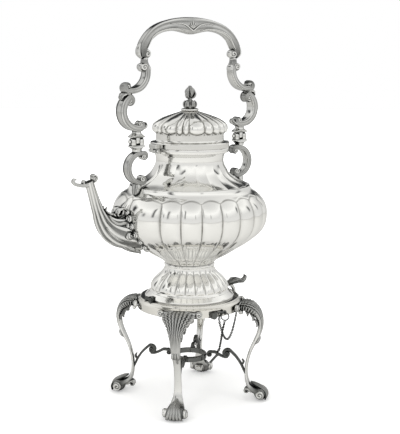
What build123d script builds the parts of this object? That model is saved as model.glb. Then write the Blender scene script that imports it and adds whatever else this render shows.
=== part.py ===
from build123d import *
import os
from math import cos, radians, sin

# A swing-handled tilting tea kettle on a four-legged stand, in millimetres.
# The origin is on the table under the kettle's axis, +Z is up and the spout points along -X.

os.makedirs("parts", exist_ok=True)

# Fits between pieces
RUNNING_FIT = 0.05
SIDE_PLAY = 0.15
LOOSE_PLAY = 0.5
TOUCH_GAP = 0.3

# Stand: ring, legs, cross arms and burner ring
SEAT_HEIGHT = 124.8
RING_RADIUS = 61.8
RING_BORE_RADIUS = 45.0
RING_FLANGE_RADIUS = 57.2
RING_DEPTH = 13.5
RING_WALL = 2.4
LEG_FIRST_ANGLE = 45.0
LEG_COUNT = 4
WING_THICKNESS = 2.8
WING_HALF_ANGLE = 20.0
WING_VOLUTE_RADIUS = 4.2
FOOT_RADIUS_OUT = 87.5
FOOT_ROLL_RADIUS = 8.3
FOOT_PAD_DEPTH = 0.4
FOOT_HALF_WIDTH = 12.8
HEEL_RADIUS = 3.0
ARM_THICKNESS = 3.3
ARM_WIDTH = 5.0
ARM_VOLUTE_RADIUS = 5.8
ARM_EYE_RADIUS = 1.7
BURNER_HEIGHT = 47.0
BURNER_DEPTH = 6.0
BURNER_RADIUS = 21.0
BURNER_BORE_RADIUS = 18.0

# Tilting hinge at the spout side and locking pin at the back
TILT_AXIS_X = -56.6
TILT_AXIS_Z = SEAT_HEIGHT + 2.4
TILT_KNUCKLE_RADIUS = 2.2
TILT_KNUCKLE_LENGTH = 6.0
TILT_EAR_LENGTH = 3.4
TILT_PIN_RADIUS = 1.0
LOCK_PIN_X = RING_RADIUS + 5.0
LOCK_PIN_Z = SEAT_HEIGHT - 10.8
LOCK_PIN_RADIUS = 1.45
LOCK_EAR_RADIUS = 4.0
LOCK_EAR_THICKNESS = 2.0
LOCK_BASE_THICKNESS = 1.0
LOCK_COLLAR_RADIUS = 2.6
LOCK_COLLAR_LENGTH = 1.2
LOCK_BOW_RADIUS = 2.7
LOCK_BOW_WIRE = 0.75
HOOK_THICKNESS = 4.6
HOOK_RADIUS = 3.8

# Kettle
BODY_WALL = 1.3
BELLY_RADIUS = 91.65
BELLY_HEIGHT = SEAT_HEIGHT + 99.2
NECK_RADIUS = 39.5
MOUTH_RADIUS = 41.7
RIM_RADIUS = 45.6
RIM_HEIGHT = BELLY_HEIGHT + 78.2
RIM_BAND = 5.8
NECK_HEIGHT = 23.2
COLLAR_HEIGHT = 6.4
BODY_BOTTOM = BELLY_HEIGHT - 58.6
BODY_BOTTOM_RADIUS = 29.2
FOOT_RIM_RADIUS = 52.9
FOOT_RIM_TOP = SEAT_HEIGHT + 6.4
FOOT_RIM_BORE = 43.5
RIB_PITCH = 15.385
RIB_COUNT = 19
WIDE_RIB = 30.0
SPOUT_RIB = 7.7
STRAINER_RADIUS = 11.0
STRAINER_THICKNESS = 1.0
STRAINER_HOLE = 1.1
SPOUT_WALL = 1.2

# Bail, its brackets and its swing joints
BAIL_AXIS_Z = RIM_HEIGHT + 9.3
BAIL_AXIS_OUT = 0.791 * BELLY_RADIUS
SWING_KNUCKLE_RADIUS = 4.0
SWING_SHOULDER = 4.3
SWING_TONGUE = 4.9
SWING_EAR = 4.4
SWING_BELL_RADIUS = 8.3
SWING_STEM_RADIUS = 5.4
SWING_BELL_LENGTH = 7.0
SWING_PIN_RADIUS = 1.5
SWING_PIN_HEAD = 2.3
BRACKET_WIDTH = 10.5
BRACKET_BAND = 5.0
BRACKET_OUTER_RADIUS = 19.4
BAIL_JOIN_Z = BAIL_AXIS_Z + 90.5
BAIL_TOP_Z = BAIL_AXIS_Z + 138.5
GRIP_WIDTH = 12.5

# Lid
LID_FLANGE_RADIUS = 46.1
LID_FLANGE_DEPTH = 6.0
LID_BAND_RADIUS = 39.6
LID_BAND_TOP = RIM_HEIGHT + 15.3
LID_SKIRT_RADIUS = 40.9
LID_SKIRT_DEPTH = 4.2
LID_WALL = 1.3
LID_SEAT_Z = RIM_HEIGHT + 38.2
LID_AXIS_X = -RIM_RADIUS - 4.4
LID_AXIS_Z = RIM_HEIGHT - 2.4
LID_KNUCKLE_RADIUS = 2.2
LID_KNUCKLE_LENGTH = 5.0
LID_LUG_WIDTH = 14.0
LID_LEAF_GAP = 0.4
LID_PIN_RADIUS = 0.8
LID_PIN_HEAD = 1.6
FINIAL_BASE_Z = RIM_HEIGHT + 41.1
FINIAL_DISC_RADIUS = 10.4
FINIAL_DISC_DEPTH = 3.2
STUD_RADIUS = 2.0
NUT_RADIUS = 4.0
NUT_DEPTH = 2.6

# Chains
CHAIN_RADIUS = 0.8
BOW_RADIUS = 4.4
BOW_WIRE = 0.7
BOW_ANGLE = 35.0


def polar(radius, angle):
    return (radius * cos(radians(angle)), radius * sin(radians(angle)))


def spaced_tangent(points, index):
    before = Vector(*points[max(index - 1, 0)])
    after = Vector(*points[min(index + 1, len(points) - 1)])
    return (after - before).normalized()


def oval_loft(stations, shrink=0.0, mode=Mode.ADD):
    """Loft ovals square to a path in the XZ plane.

    A station is (x, z, half size in the plane, half size across it).
    """
    points = [(x, 0, z) for x, z, _, _ in stations]
    ovals = []
    for index, (_, _, half_in, half_across) in enumerate(stations):
        along = spaced_tangent(points, index)
        with BuildSketch(Plane(points[index], x_dir=Vector(0, 1, 0).cross(along), z_dir=along)) as oval:
            Ellipse(half_in - shrink, half_across - shrink)
        ovals.append(oval.sketch)
    loft(sections=ovals, mode=mode)


def rib_angles():
    """Edges of the ribs that run down the lid, the body and the foot, symmetric about the spout."""
    first = 180 + SPOUT_RIB / 2 + WIDE_RIB
    regular = [first + RIB_PITCH * k for k in range(RIB_COUNT + 1)]
    return [180 - SPOUT_RIB / 2, 180 + SPOUT_RIB / 2] + regular


def ribbed_loft(stations):
    """Loft rib-edged sections, each (height, crown radius, depth of the valleys)."""
    angles = rib_angles()
    ends = angles[1:] + [angles[0] + 360]
    sections = []
    for height, crown, depth in stations:
        low = crown - depth
        with BuildSketch(Plane.XY.offset(height)) as section:
            with BuildLine():
                for start, end in zip(angles, ends):
                    ThreePointArc(polar(low, start), polar(crown, (start + end) / 2), polar(low, end))
            make_face()
        sections.append(section.sketch)
    loft(sections=sections)


def spline_profile(points, *rest):
    """A closed profile: a spline through points, then straight lines through rest and back."""
    with BuildLine() as outline:
        Spline(*points)
        Polyline(points[-1], *rest, points[0])
    make_face(outline.edges())


def save(piece, name):
    piece.label = name
    export_step(piece, f"parts/{name}.step")


# Ring of the stand: a turned L section, its flange carries the kettle's foot
ring_bottom = SEAT_HEIGHT - RING_DEPTH
with BuildPart() as stand_ring:
    with BuildSketch(Plane.XZ):
        with BuildLine():
            Polyline(
                (RING_BORE_RADIUS, SEAT_HEIGHT - RING_WALL),
                (RING_BORE_RADIUS, SEAT_HEIGHT),
                (RING_FLANGE_RADIUS, SEAT_HEIGHT),
            )
            ThreePointArc(
                (RING_FLANGE_RADIUS, SEAT_HEIGHT),
                (RING_FLANGE_RADIUS + 1.3, SEAT_HEIGHT - 0.6),
                (RING_FLANGE_RADIUS + 1.9, SEAT_HEIGHT - 2.0),
            )
            ThreePointArc(
                (RING_FLANGE_RADIUS + 1.9, SEAT_HEIGHT - 2.0),
                (RING_RADIUS - 1.2, SEAT_HEIGHT - 3.4),
                (RING_RADIUS, SEAT_HEIGHT - 4.2),
            )
            Polyline(
                (RING_RADIUS, SEAT_HEIGHT - 4.2),
                (RING_RADIUS, SEAT_HEIGHT - 5.6),
                (RING_RADIUS - 0.8, ring_bottom + 1.2),
                (RING_RADIUS - 0.3, ring_bottom),
                (RING_RADIUS - RING_WALL - 0.3, ring_bottom),
                (RING_RADIUS - RING_WALL - 1.0, SEAT_HEIGHT - RING_WALL - 3.6),
                (RING_FLANGE_RADIUS - 1.0, SEAT_HEIGHT - RING_WALL),
                (RING_BORE_RADIUS, SEAT_HEIGHT - RING_WALL),
            )
        make_face()
    revolve(axis=Axis.Z)
save(stand_ring.part, "stand_ring")

# Cabriole leg, modelled along +X: leafy knee, slim shank and a scrolled foot.
# Each station is (distance out from the ring, share of the seat's height, half thickness, half width).
LEG_FORM = [
    (-1.3, 0.928, 4.6, 12.0),
    (5.7, 0.926, 5.8, 13.5),
    (13.2, 0.907, 6.6, 13.0),
    (19.7, 0.864, 5.6, 10.5),
    (23.8, 0.801, 3.5, 7.6),
    (24.6, 0.733, 2.6, 5.6),
    (22.6, 0.657, 2.3, 4.9),
    (18.4, 0.577, 2.3, 5.2),
    (13.6, 0.497, 2.0, 4.4),
    (9.8, 0.401, 1.8, 4.1),
    (7.8, 0.296, 1.7, 4.2),
    (8.4, 0.204, 1.9, 5.0),
    (11.6, 0.132, 2.8, 7.2),
    (17.2, 0.095, 3.8, 9.6),
    (23.2, 0.082, 4.4, 10.8),
]
LEG_STATIONS = [(RING_RADIUS + out, SEAT_HEIGHT * share, thick, wide) for out, share, thick, wide in LEG_FORM]
foot_center_z = FOOT_ROLL_RADIUS - FOOT_PAD_DEPTH
wing_low = ring_bottom + 1.0
wing_high = SEAT_HEIGHT - 4.4
with BuildPart() as leg:
    oval_loft(LEG_STATIONS)
    # The knee's wings lie along the ring and end in small volutes
    with BuildSketch(Plane.XY.offset(wing_low)):
        with BuildLine():
            inner_wing = CenterArc((0, 0), RING_RADIUS, -WING_HALF_ANGLE, 2 * WING_HALF_ANGLE)
            outer_wing = CenterArc(
                (0, 0), RING_RADIUS + WING_THICKNESS, -WING_HALF_ANGLE, 2 * WING_HALF_ANGLE
            )
            Line(inner_wing @ 0, outer_wing @ 0)
            Line(inner_wing @ 1, outer_wing @ 1)
        make_face()
    extrude(amount=wing_high - wing_low)
    for side in (-1, 1):
        outward = Vector(*polar(1, side * WING_HALF_ANGLE))
        volute_start = outward * (RING_RADIUS - 1) + Vector(0, 0, (wing_low + wing_high) / 2)
        with BuildSketch(Plane(volute_start, z_dir=outward)):
            Circle(WING_VOLUTE_RADIUS)
        extrude(amount=WING_THICKNESS + 2.4)
    # The foot is a roll lying across the leg, thickest in the middle
    with BuildSketch(Plane((FOOT_RADIUS_OUT, 0, foot_center_z), x_dir=(0, 1, 0), z_dir=(1, 0, 0))):
        with BuildLine():
            Line((-FOOT_HALF_WIDTH, 0), (-FOOT_HALF_WIDTH, FOOT_ROLL_RADIUS * 0.4))
            Spline(
                (-FOOT_HALF_WIDTH, FOOT_ROLL_RADIUS * 0.4),
                (-FOOT_HALF_WIDTH * 0.6, FOOT_ROLL_RADIUS * 0.82),
                (0, FOOT_ROLL_RADIUS),
                (FOOT_HALF_WIDTH * 0.6, FOOT_ROLL_RADIUS * 0.82),
                (FOOT_HALF_WIDTH, FOOT_ROLL_RADIUS * 0.4),
            )
            Line((FOOT_HALF_WIDTH, FOOT_ROLL_RADIUS * 0.4), (FOOT_HALF_WIDTH, 0))
            Line((FOOT_HALF_WIDTH, 0), (-FOOT_HALF_WIDTH, 0))
        make_face()
    revolve(axis=Axis((FOOT_RADIUS_OUT, 0, foot_center_z), (0, 1, 0)))
    # The heel curls back under the shank
    with BuildSketch(Plane.XZ):
        with Locations((70.2, 10.6)):
            Circle(HEEL_RADIUS)
        with BuildLine():
            Spline((70.2, 12.0), (74.0, 12.5), (79.0, 11.0))
        trace(line_width=HEEL_RADIUS)
    extrude(amount=5.0, both=True)
    # The ring's outer wall and the table trim what reaches past them
    with Locations((0, 0, ring_bottom)):
        Cylinder(
            RING_RADIUS, RING_DEPTH * 2, align=(Align.CENTER, Align.CENTER, Align.CENTER), mode=Mode.SUBTRACT
        )
    with Locations((FOOT_RADIUS_OUT, 0, 0)):
        Box(60, 60, 20, align=(Align.CENTER, Align.CENTER, Align.MAX), mode=Mode.SUBTRACT)

# Cross arm, modelled along +X: two C scrolls from the leg to the burner ring
ARM_CURVE_OUT = [(69.0, 30.5), (66.4, 36.0), (63.0, 43.0), (57.6, 50.8), (52.0, 56.4), (45.6, 59.4)]
ARM_CURVE_IN = [(45.4, 51.0), (40.6, 50.6), (36.2, 52.4), (32.0, 54.8), (28.0, 54.8), (25.0, 52.4)]
ARM_VOLUTE_CENTER = (45.0, 55.2)
ARM_CURL_CENTER = (23.8, 50.6)
ARM_CURL_RADIUS = 3.2
with BuildPart() as arm:
    with BuildSketch(Plane.XZ):
        with BuildLine():
            Spline(*ARM_CURVE_OUT)
        trace(line_width=ARM_THICKNESS)
        with BuildLine():
            Spline(*ARM_CURVE_IN)
        trace(line_width=ARM_THICKNESS)
        with Locations(ARM_VOLUTE_CENTER):
            Circle(ARM_VOLUTE_RADIUS)
            Circle(ARM_EYE_RADIUS, mode=Mode.SUBTRACT)
        with Locations(ARM_CURL_CENTER):
            Circle(ARM_CURL_RADIUS)
    extrude(amount=ARM_WIDTH / 2, both=True)
    Cylinder(BURNER_RADIUS, 4 * BURNER_HEIGHT, mode=Mode.SUBTRACT)
    add(leg.part, mode=Mode.SUBTRACT)

SIDE_NAMES = ["rear_right", "front_right", "front_left", "rear_left"]
for index in range(LEG_COUNT):
    turn = LEG_FIRST_ANGLE + 360 / LEG_COUNT * index
    save(leg.part.rotate(Axis.Z, turn), f"leg_{SIDE_NAMES[index]}")
    save(arm.part.rotate(Axis.Z, turn), f"arm_{SIDE_NAMES[index]}")

# Burner ring: an open collar that a small spirit burner drops into
with BuildPart() as burner_ring:
    with BuildSketch(Plane.XZ):
        with BuildLine():
            Polyline(
                (BURNER_BORE_RADIUS, BURNER_HEIGHT),
                (BURNER_RADIUS, BURNER_HEIGHT),
                (BURNER_RADIUS, BURNER_HEIGHT + BURNER_DEPTH - 1),
                (BURNER_RADIUS - 1, BURNER_HEIGHT + BURNER_DEPTH),
                (BURNER_BORE_RADIUS, BURNER_HEIGHT + BURNER_DEPTH),
                (BURNER_BORE_RADIUS, BURNER_HEIGHT),
            )
        make_face()
    revolve(axis=Axis.Z)
save(burner_ring.part, "burner_ring")

# Outer form of the kettle's body, used whole to trim what seats on it.
# Belly stations are (rise above the widest level, share of the belly's radius, depth of the valleys).
BELLY_FORM = [
    (-40.0, 0.627, 0.4),
    (-31.0, 0.780, 1.4),
    (-20.0, 0.920, 1.9),
    (-10.0, 0.982, 2.1),
    (0.0, 1.000, 2.1),
    (8.0, 0.990, 2.1),
    (16.0, 0.951, 1.9),
    (23.0, 0.882, 1.4),
    (28.0, 0.810, 0.5),
]
belly = [(BELLY_HEIGHT + rise, BELLY_RADIUS * share, depth) for rise, share, depth in BELLY_FORM]
belly_low, belly_low_radius = belly[0][0], belly[0][1]
belly_top, belly_top_radius = belly[-1][0], belly[-1][1]
collar_top = belly_top + COLLAR_HEIGHT
collar_radius = belly_top_radius - 4.8
neck_low = RIM_HEIGHT - NECK_HEIGHT
neck_low_radius = NECK_RADIUS + 2.1

# Neck stations are (share of the way up from the collar, share of its spread, height of the arrises)
NECK_FORM = [(-0.05, 0.928, 2.0), (0.20, 0.575, 2.2), (0.42, 0.323, 1.7), (0.68, 0.126, 1.1), (1.0, 0.0, 0.4)]
neck = [
    (
        collar_top + (neck_low - collar_top) * up,
        neck_low_radius + (collar_radius - neck_low_radius) * spread,
        -arris,
    )
    for up, spread, arris in NECK_FORM
]


def between(start, end, *shares):
    """Points at the given shares of the way from start to end, in radius and in height."""
    return [(start[0] + (end[0] - start[0]) * r, start[1] + (end[1] - start[1]) * z) for r, z in shares]


bottom_edge = (BODY_BOTTOM_RADIUS, BODY_BOTTOM)
belly_edge = (belly_low_radius - 0.9, belly_low)
with BuildPart() as body_form:
    # Turned core: bottom, collar strip on the shoulder, throat and rim
    with BuildSketch(Plane.XZ):
        with BuildLine():
            Polyline((0, RIM_HEIGHT), (0, BODY_BOTTOM), bottom_edge)
            Spline(bottom_edge, *between(bottom_edge, belly_edge, (0.19, 0.25), (0.60, 0.61)), belly_edge)
            Polyline(
                belly_edge,
                (belly_low_radius - 7.5, belly_low + 6.0),
                (belly_low_radius - 7.5, belly_top - 6.0),
                (belly_top_radius - 1.3, belly_top - 0.8),
                (belly_top_radius - 1.3, belly_top + 0.8),
                (belly_top_radius - 3.0, belly_top + 2.4),
                (collar_radius + 0.4, collar_top - 1.2),
                (collar_radius, collar_top),
                (NECK_RADIUS - 1.5, collar_top),
                (NECK_RADIUS - 1.5, neck_low - 2.0),
                (NECK_RADIUS + 1.5, neck_low - 1.0),
            )
            Spline(
                (NECK_RADIUS + 1.5, neck_low - 1.0),
                (NECK_RADIUS, RIM_HEIGHT - 16.2),
                (NECK_RADIUS + 0.9, RIM_HEIGHT - 10.2),
                (NECK_RADIUS + 2.9, RIM_HEIGHT - RIM_BAND),
            )
            Polyline(
                (NECK_RADIUS + 2.9, RIM_HEIGHT - RIM_BAND),
                (RIM_RADIUS - 0.6, RIM_HEIGHT - RIM_BAND),
                (RIM_RADIUS, RIM_HEIGHT - RIM_BAND + 0.6),
                (RIM_RADIUS, RIM_HEIGHT),
                (0, RIM_HEIGHT),
            )
        make_face()
    revolve(axis=Axis.Z)
    ribbed_loft(belly)
    ribbed_loft(neck)

# The wall under the spout is pierced square to its surface
strainer_plane = Plane((4.65 - BELLY_RADIUS, 0, BELLY_HEIGHT - 14.0), x_dir=(0, 1, 0), z_dir=(-0.869, 0, -0.495))
floor_z = BODY_BOTTOM + 2 * BODY_WALL
with BuildPart() as body_shell:
    add(body_form.part)
    # Inside of the shell, turned
    with BuildSketch(Plane.XZ):
        with BuildLine():
            Polyline((0, RIM_HEIGHT + 1), (0, floor_z), (BODY_BOTTOM_RADIUS - 3.2, floor_z))
            Spline(
                (BODY_BOTTOM_RADIUS - 3.2, floor_z),
                (belly_low_radius - 14.5, belly_low - 5.6),
                (belly[1][1] - belly[1][2] - 2 * BODY_WALL, belly[1][0] + 1),
                (belly[2][1] - belly[2][2] - 1.6 * BODY_WALL, belly[2][0]),
                (belly[4][1] - belly[4][2] - BODY_WALL, belly[4][0]),
                (belly[6][1] - belly[6][2] - 1.6 * BODY_WALL, belly[6][0]),
                (belly_top_radius - 3.0 * BODY_WALL, belly_top - 1),
                (neck[1][1] - 1.6 * BODY_WALL, neck[1][0] - 3.0),
                (neck[3][1] - 1.6 * BODY_WALL, neck[3][0] - 2.0),
                (NECK_RADIUS - BODY_WALL, RIM_HEIGHT - 17.2),
            )
            Spline(
                (NECK_RADIUS - BODY_WALL, RIM_HEIGHT - 17.2),
                (NECK_RADIUS - BODY_WALL + 0.4, RIM_HEIGHT - 11.2),
                (MOUTH_RADIUS, RIM_HEIGHT - RIM_BAND + 1),
            )
            Polyline((MOUTH_RADIUS, RIM_HEIGHT - RIM_BAND + 1), (MOUTH_RADIUS, RIM_HEIGHT + 1), (0, RIM_HEIGHT + 1))
        make_face()
    revolve(axis=Axis.Z, mode=Mode.SUBTRACT)
    with BuildSketch(strainer_plane.offset(-12)):
        Circle(STRAINER_RADIUS)
    extrude(amount=24, mode=Mode.SUBTRACT)

# The body is two raised shells soldered together on top of the collar strip
with BuildPart() as kettle_belly:
    add(body_shell.part)
    split(bisect_by=Plane.XY.offset(collar_top), keep=Keep.BOTTOM)
save(kettle_belly.part, "kettle_belly")

with BuildPart() as kettle_neck:
    add(body_shell.part)
    split(bisect_by=Plane.XY.offset(collar_top), keep=Keep.TOP)
save(kettle_neck.part, "kettle_neck")

with BuildPart() as spout_strainer:
    with BuildSketch(strainer_plane.offset(-STRAINER_THICKNESS)):
        Circle(STRAINER_RADIUS - RUNNING_FIT)
        with HexLocations(2 * STRAINER_HOLE, 5, 5):
            Circle(STRAINER_HOLE, mode=Mode.SUBTRACT)
    extrude(amount=STRAINER_THICKNESS)
save(spout_strainer.part, "spout_strainer")

# Ribbed foot of the kettle, hollow and open below
# Its stations are (share of the way up from the rim, radius, depth of the valleys)
KETTLE_FOOT_FORM = [
    (0.155, 46.5, 0.9),
    (0.301, 44.4, 1.4),
    (0.462, 40.2, 1.4),
    (0.608, 34.6, 1.1),
    (0.740, 30.9, 0.7),
    (0.871, 29.4, 0.1),
]
foot_height = BODY_BOTTOM - FOOT_RIM_TOP
foot_rings = [(FOOT_RIM_TOP + foot_height * up, radius, depth) for up, radius, depth in KETTLE_FOOT_FORM]
with BuildPart() as kettle_foot:
    ribbed_loft(foot_rings)
    with BuildSketch(Plane.XZ):
        Polygon(
            (0, foot_rings[-1][0]),
            (29.3, foot_rings[-1][0]),
            (30.4, BODY_BOTTOM - 2.4),
            (BODY_BOTTOM_RADIUS, BODY_BOTTOM),
            (0, BODY_BOTTOM),
            align=None,
        )
        Polygon(
            (0, FOOT_RIM_TOP),
            (47.6, FOOT_RIM_TOP),
            (45.6, FOOT_RIM_TOP + 3.0),
            (45.8, foot_rings[0][0]),
            (0, foot_rings[0][0]),
            align=None,
        )
    revolve(axis=Axis.Z)
    with BuildSketch(Plane.XZ):
        hollow_low = (FOOT_RIM_BORE, FOOT_RIM_TOP)
        hollow_high = (26.8, FOOT_RIM_TOP + 0.84 * foot_height)
        bends = between(hollow_low, hollow_high, (0.04, 0.20), (0.19, 0.375), (0.47, 0.58), (0.845, 0.79))
        spline_profile([hollow_low, *bends, hollow_high], (26.8, BODY_BOTTOM), (0, BODY_BOTTOM), (0, FOOT_RIM_TOP))
    revolve(axis=Axis.Z, mode=Mode.SUBTRACT)
save(kettle_foot.part, "kettle_foot")

with BuildPart() as foot_rim:
    with BuildSketch(Plane.XZ):
        Polygon(
            (FOOT_RIM_BORE, SEAT_HEIGHT),
            (FOOT_RIM_RADIUS, SEAT_HEIGHT),
            (FOOT_RIM_RADIUS, SEAT_HEIGHT + 1.2),
            (FOOT_RIM_RADIUS - 0.8, SEAT_HEIGHT + 2.2),
            (FOOT_RIM_RADIUS - 4.6, FOOT_RIM_TOP - 0.6),
            (FOOT_RIM_RADIUS - 5.3, FOOT_RIM_TOP),
            (FOOT_RIM_BORE, FOOT_RIM_TOP),
            align=None,
        )
    revolve(axis=Axis.Z)
save(foot_rim.part, "foot_rim")

# Swan-neck spout: a tapering tube with a beak, a rolled hood and a leaf scroll at its root.
# Stations are (reach beyond the belly, rise above its widest level, half height, half width).
SPOUT_FORM = [
    (-21.6, -12.5, 25.0, 18.0),
    (-11.6, -12.8, 23.4, 17.5),
    (-1.6, -12.8, 20.6, 16.2),
    (8.4, -11.2, 17.6, 14.4),
    (18.0, -6.4, 14.2, 12.4),
    (25.6, 2.0, 10.4, 9.8),
    (30.6, 12.0, 7.4, 7.4),
    (34.2, 21.5, 6.3, 6.3),
    (37.2, 31.0, 5.7, 5.7),
    (40.2, 40.5, 5.4, 5.4),
    (42.4, 46.5, 5.6, 5.8),
]
BEAK_FORM = [(42.8, 42.8, 1.9, 4.6), (48.4, 42.8, 1.5, 3.9), (54.4, 43.6, 1.2, 2.9), (58.8, 44.6, 1.1, 2.4)]


def by_spout(reach, rise, *sizes):
    return (-BELLY_RADIUS - reach, BELLY_HEIGHT + rise, *sizes)


with BuildPart() as spout:
    oval_loft([by_spout(*station) for station in SPOUT_FORM])
    oval_loft([by_spout(*station) for station in BEAK_FORM])
    with BuildSketch(Plane.XZ):
        with Locations(by_spout(59.4, 47.2)):
            Circle(3.0)
            Circle(1.2, mode=Mode.SUBTRACT)
    extrude(amount=2.6, both=True)
    with BuildSketch(Plane.XZ):
        with Locations(by_spout(36.7, 49.4)):
            Circle(3.0)
    extrude(amount=4.6, both=True)
    with BuildSketch(Plane.XZ):
        with Locations(by_spout(5.9, 8.6)):
            Circle(4.4)
        with BuildLine():
            Spline(by_spout(7.9, 11.6), by_spout(13.4, 10.8), by_spout(20.4, 7.0))
        trace(line_width=2.6)
    extrude(amount=6.5, both=True)
    oval_loft([by_spout(*station) for station in SPOUT_FORM], shrink=SPOUT_WALL, mode=Mode.SUBTRACT)
    add(body_form.part, mode=Mode.SUBTRACT)
save(spout.part, "spout")

# Bell of a swing joint: a turned cup whose sides are narrowed so that the bail can fold level
bell_start = SWING_SHOULDER
bell_end = SWING_SHOULDER + SWING_BELL_LENGTH
with BuildPart() as bell:
    with BuildSketch(Plane.XZ):
        with BuildLine():
            Polyline(
                (0, -bell_end),
                (SWING_STEM_RADIUS, -bell_end),
                (SWING_STEM_RADIUS - 0.4, -bell_end + 1.4),
            )
            Spline(
                (SWING_STEM_RADIUS - 0.4, -bell_end + 1.4),
                (SWING_STEM_RADIUS + 0.9, -bell_start - 3.0),
                (SWING_BELL_RADIUS, -bell_start - 1.2),
            )
            Polyline(
                (SWING_BELL_RADIUS, -bell_start - 1.2), (SWING_BELL_RADIUS, -bell_start), (0, -bell_start), (0, -bell_end)
            )
        make_face()
    revolve(axis=Axis.Z)
    with BuildSketch(Plane.YZ):
        side = bell_start - 0.2
        Polygon(
            (-side, -bell_start),
            (side, -bell_start),
            (side + 5.0, -bell_start - 5.0),
            (side + 5.0, -bell_end),
            (-side - 5.0, -bell_end),
            (-side - 5.0, -bell_start - 5.0),
            align=None,
        )
    extrude(amount=2 * SWING_BELL_RADIUS, both=True, mode=Mode.INTERSECT)

# Fork half of the joint: the bell with two ears; tongue half: the bell upside down with one disc
with BuildPart() as fork:
    add(bell.part)
    for side in (-1, 1):
        near = side * (SWING_TONGUE / 2 + SIDE_PLAY)
        with BuildSketch(Plane.YZ.offset(near)):
            Circle(SWING_KNUCKLE_RADIUS)
            with Locations((0, -bell_start / 2 - 0.5)):
                Rectangle(2 * SWING_KNUCKLE_RADIUS, bell_start + 1.0)
        extrude(amount=side * SWING_EAR)
    with BuildSketch(Plane.YZ.offset(-SWING_BELL_RADIUS)):
        Circle(SWING_PIN_RADIUS)
    extrude(amount=2 * SWING_BELL_RADIUS, mode=Mode.SUBTRACT)

with BuildPart() as tongue:
    add(bell.part.rotate(Axis.X, 180))
    with BuildSketch(Plane.YZ.offset(-SWING_TONGUE / 2)):
        Circle(SWING_KNUCKLE_RADIUS)
        with Locations((0, bell_start / 2 + 0.5)):
            Rectangle(2 * SWING_KNUCKLE_RADIUS, bell_start + 1.0)
    extrude(amount=SWING_TONGUE)
    with BuildSketch(Plane.YZ.offset(-SWING_BELL_RADIUS)):
        Circle(SWING_PIN_RADIUS + RUNNING_FIT)
    extrude(amount=2 * SWING_BELL_RADIUS, mode=Mode.SUBTRACT)

joint_place = Location((BAIL_AXIS_OUT, 0, BAIL_AXIS_Z))

# Bracket that carries the swing joint: a C scroll standing on the shoulder
BRACKET_DROP = 30.0


def from_swing(out, up):
    """A point beside the swing axis, in the plane of the bail."""
    return (BAIL_AXIS_OUT + out, BAIL_AXIS_Z + up)


with BuildPart() as bracket_form:
    with BuildSketch(Plane.XZ):
        with BuildLine():
            CenterArc(from_swing(-4.5, -BRACKET_DROP), BRACKET_OUTER_RADIUS - BRACKET_BAND / 2, -88, 180)
        trace(line_width=BRACKET_BAND)
        with Locations(from_swing(-4.9, -BRACKET_DROP + 14.1)):
            Circle(5.0)
        with Locations(from_swing(-3.5, -BRACKET_DROP - 13.5)):
            Circle(5.5)
        with Locations(from_swing(-2.0, -BRACKET_DROP - 21.5)):
            Rectangle(12.0, 12.0)
        with Locations(from_swing(0, -bell_end - 1.2)):
            Rectangle(2 * SWING_STEM_RADIUS, 4.0)
    extrude(amount=BRACKET_WIDTH / 2, both=True)
    add(fork.part.moved(joint_place))

for name, turn in (("rear", 0), ("front", 180)):
    with BuildPart() as bracket:
        add(bracket_form.part.rotate(Axis.Z, turn))
        add(body_form.part, mode=Mode.SUBTRACT)
    save(bracket.part, f"bracket_{name}")

with BuildPart() as bail_pin:
    with BuildSketch(Plane.YZ.offset(-SWING_TONGUE / 2 - SWING_EAR - 1.0)):
        Circle(SWING_PIN_RADIUS)
    extrude(amount=SWING_TONGUE + 2 * SWING_EAR + 2.0)
    with Locations((-SWING_TONGUE / 2 - SWING_EAR - 2.0, 0, 0)):
        Sphere(SWING_PIN_HEAD)

save(bail_pin.part.moved(joint_place), "bail_pin_rear")
save(bail_pin.part.moved(Location((-BAIL_AXIS_OUT, 0, BAIL_AXIS_Z))), "bail_pin_front")

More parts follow.
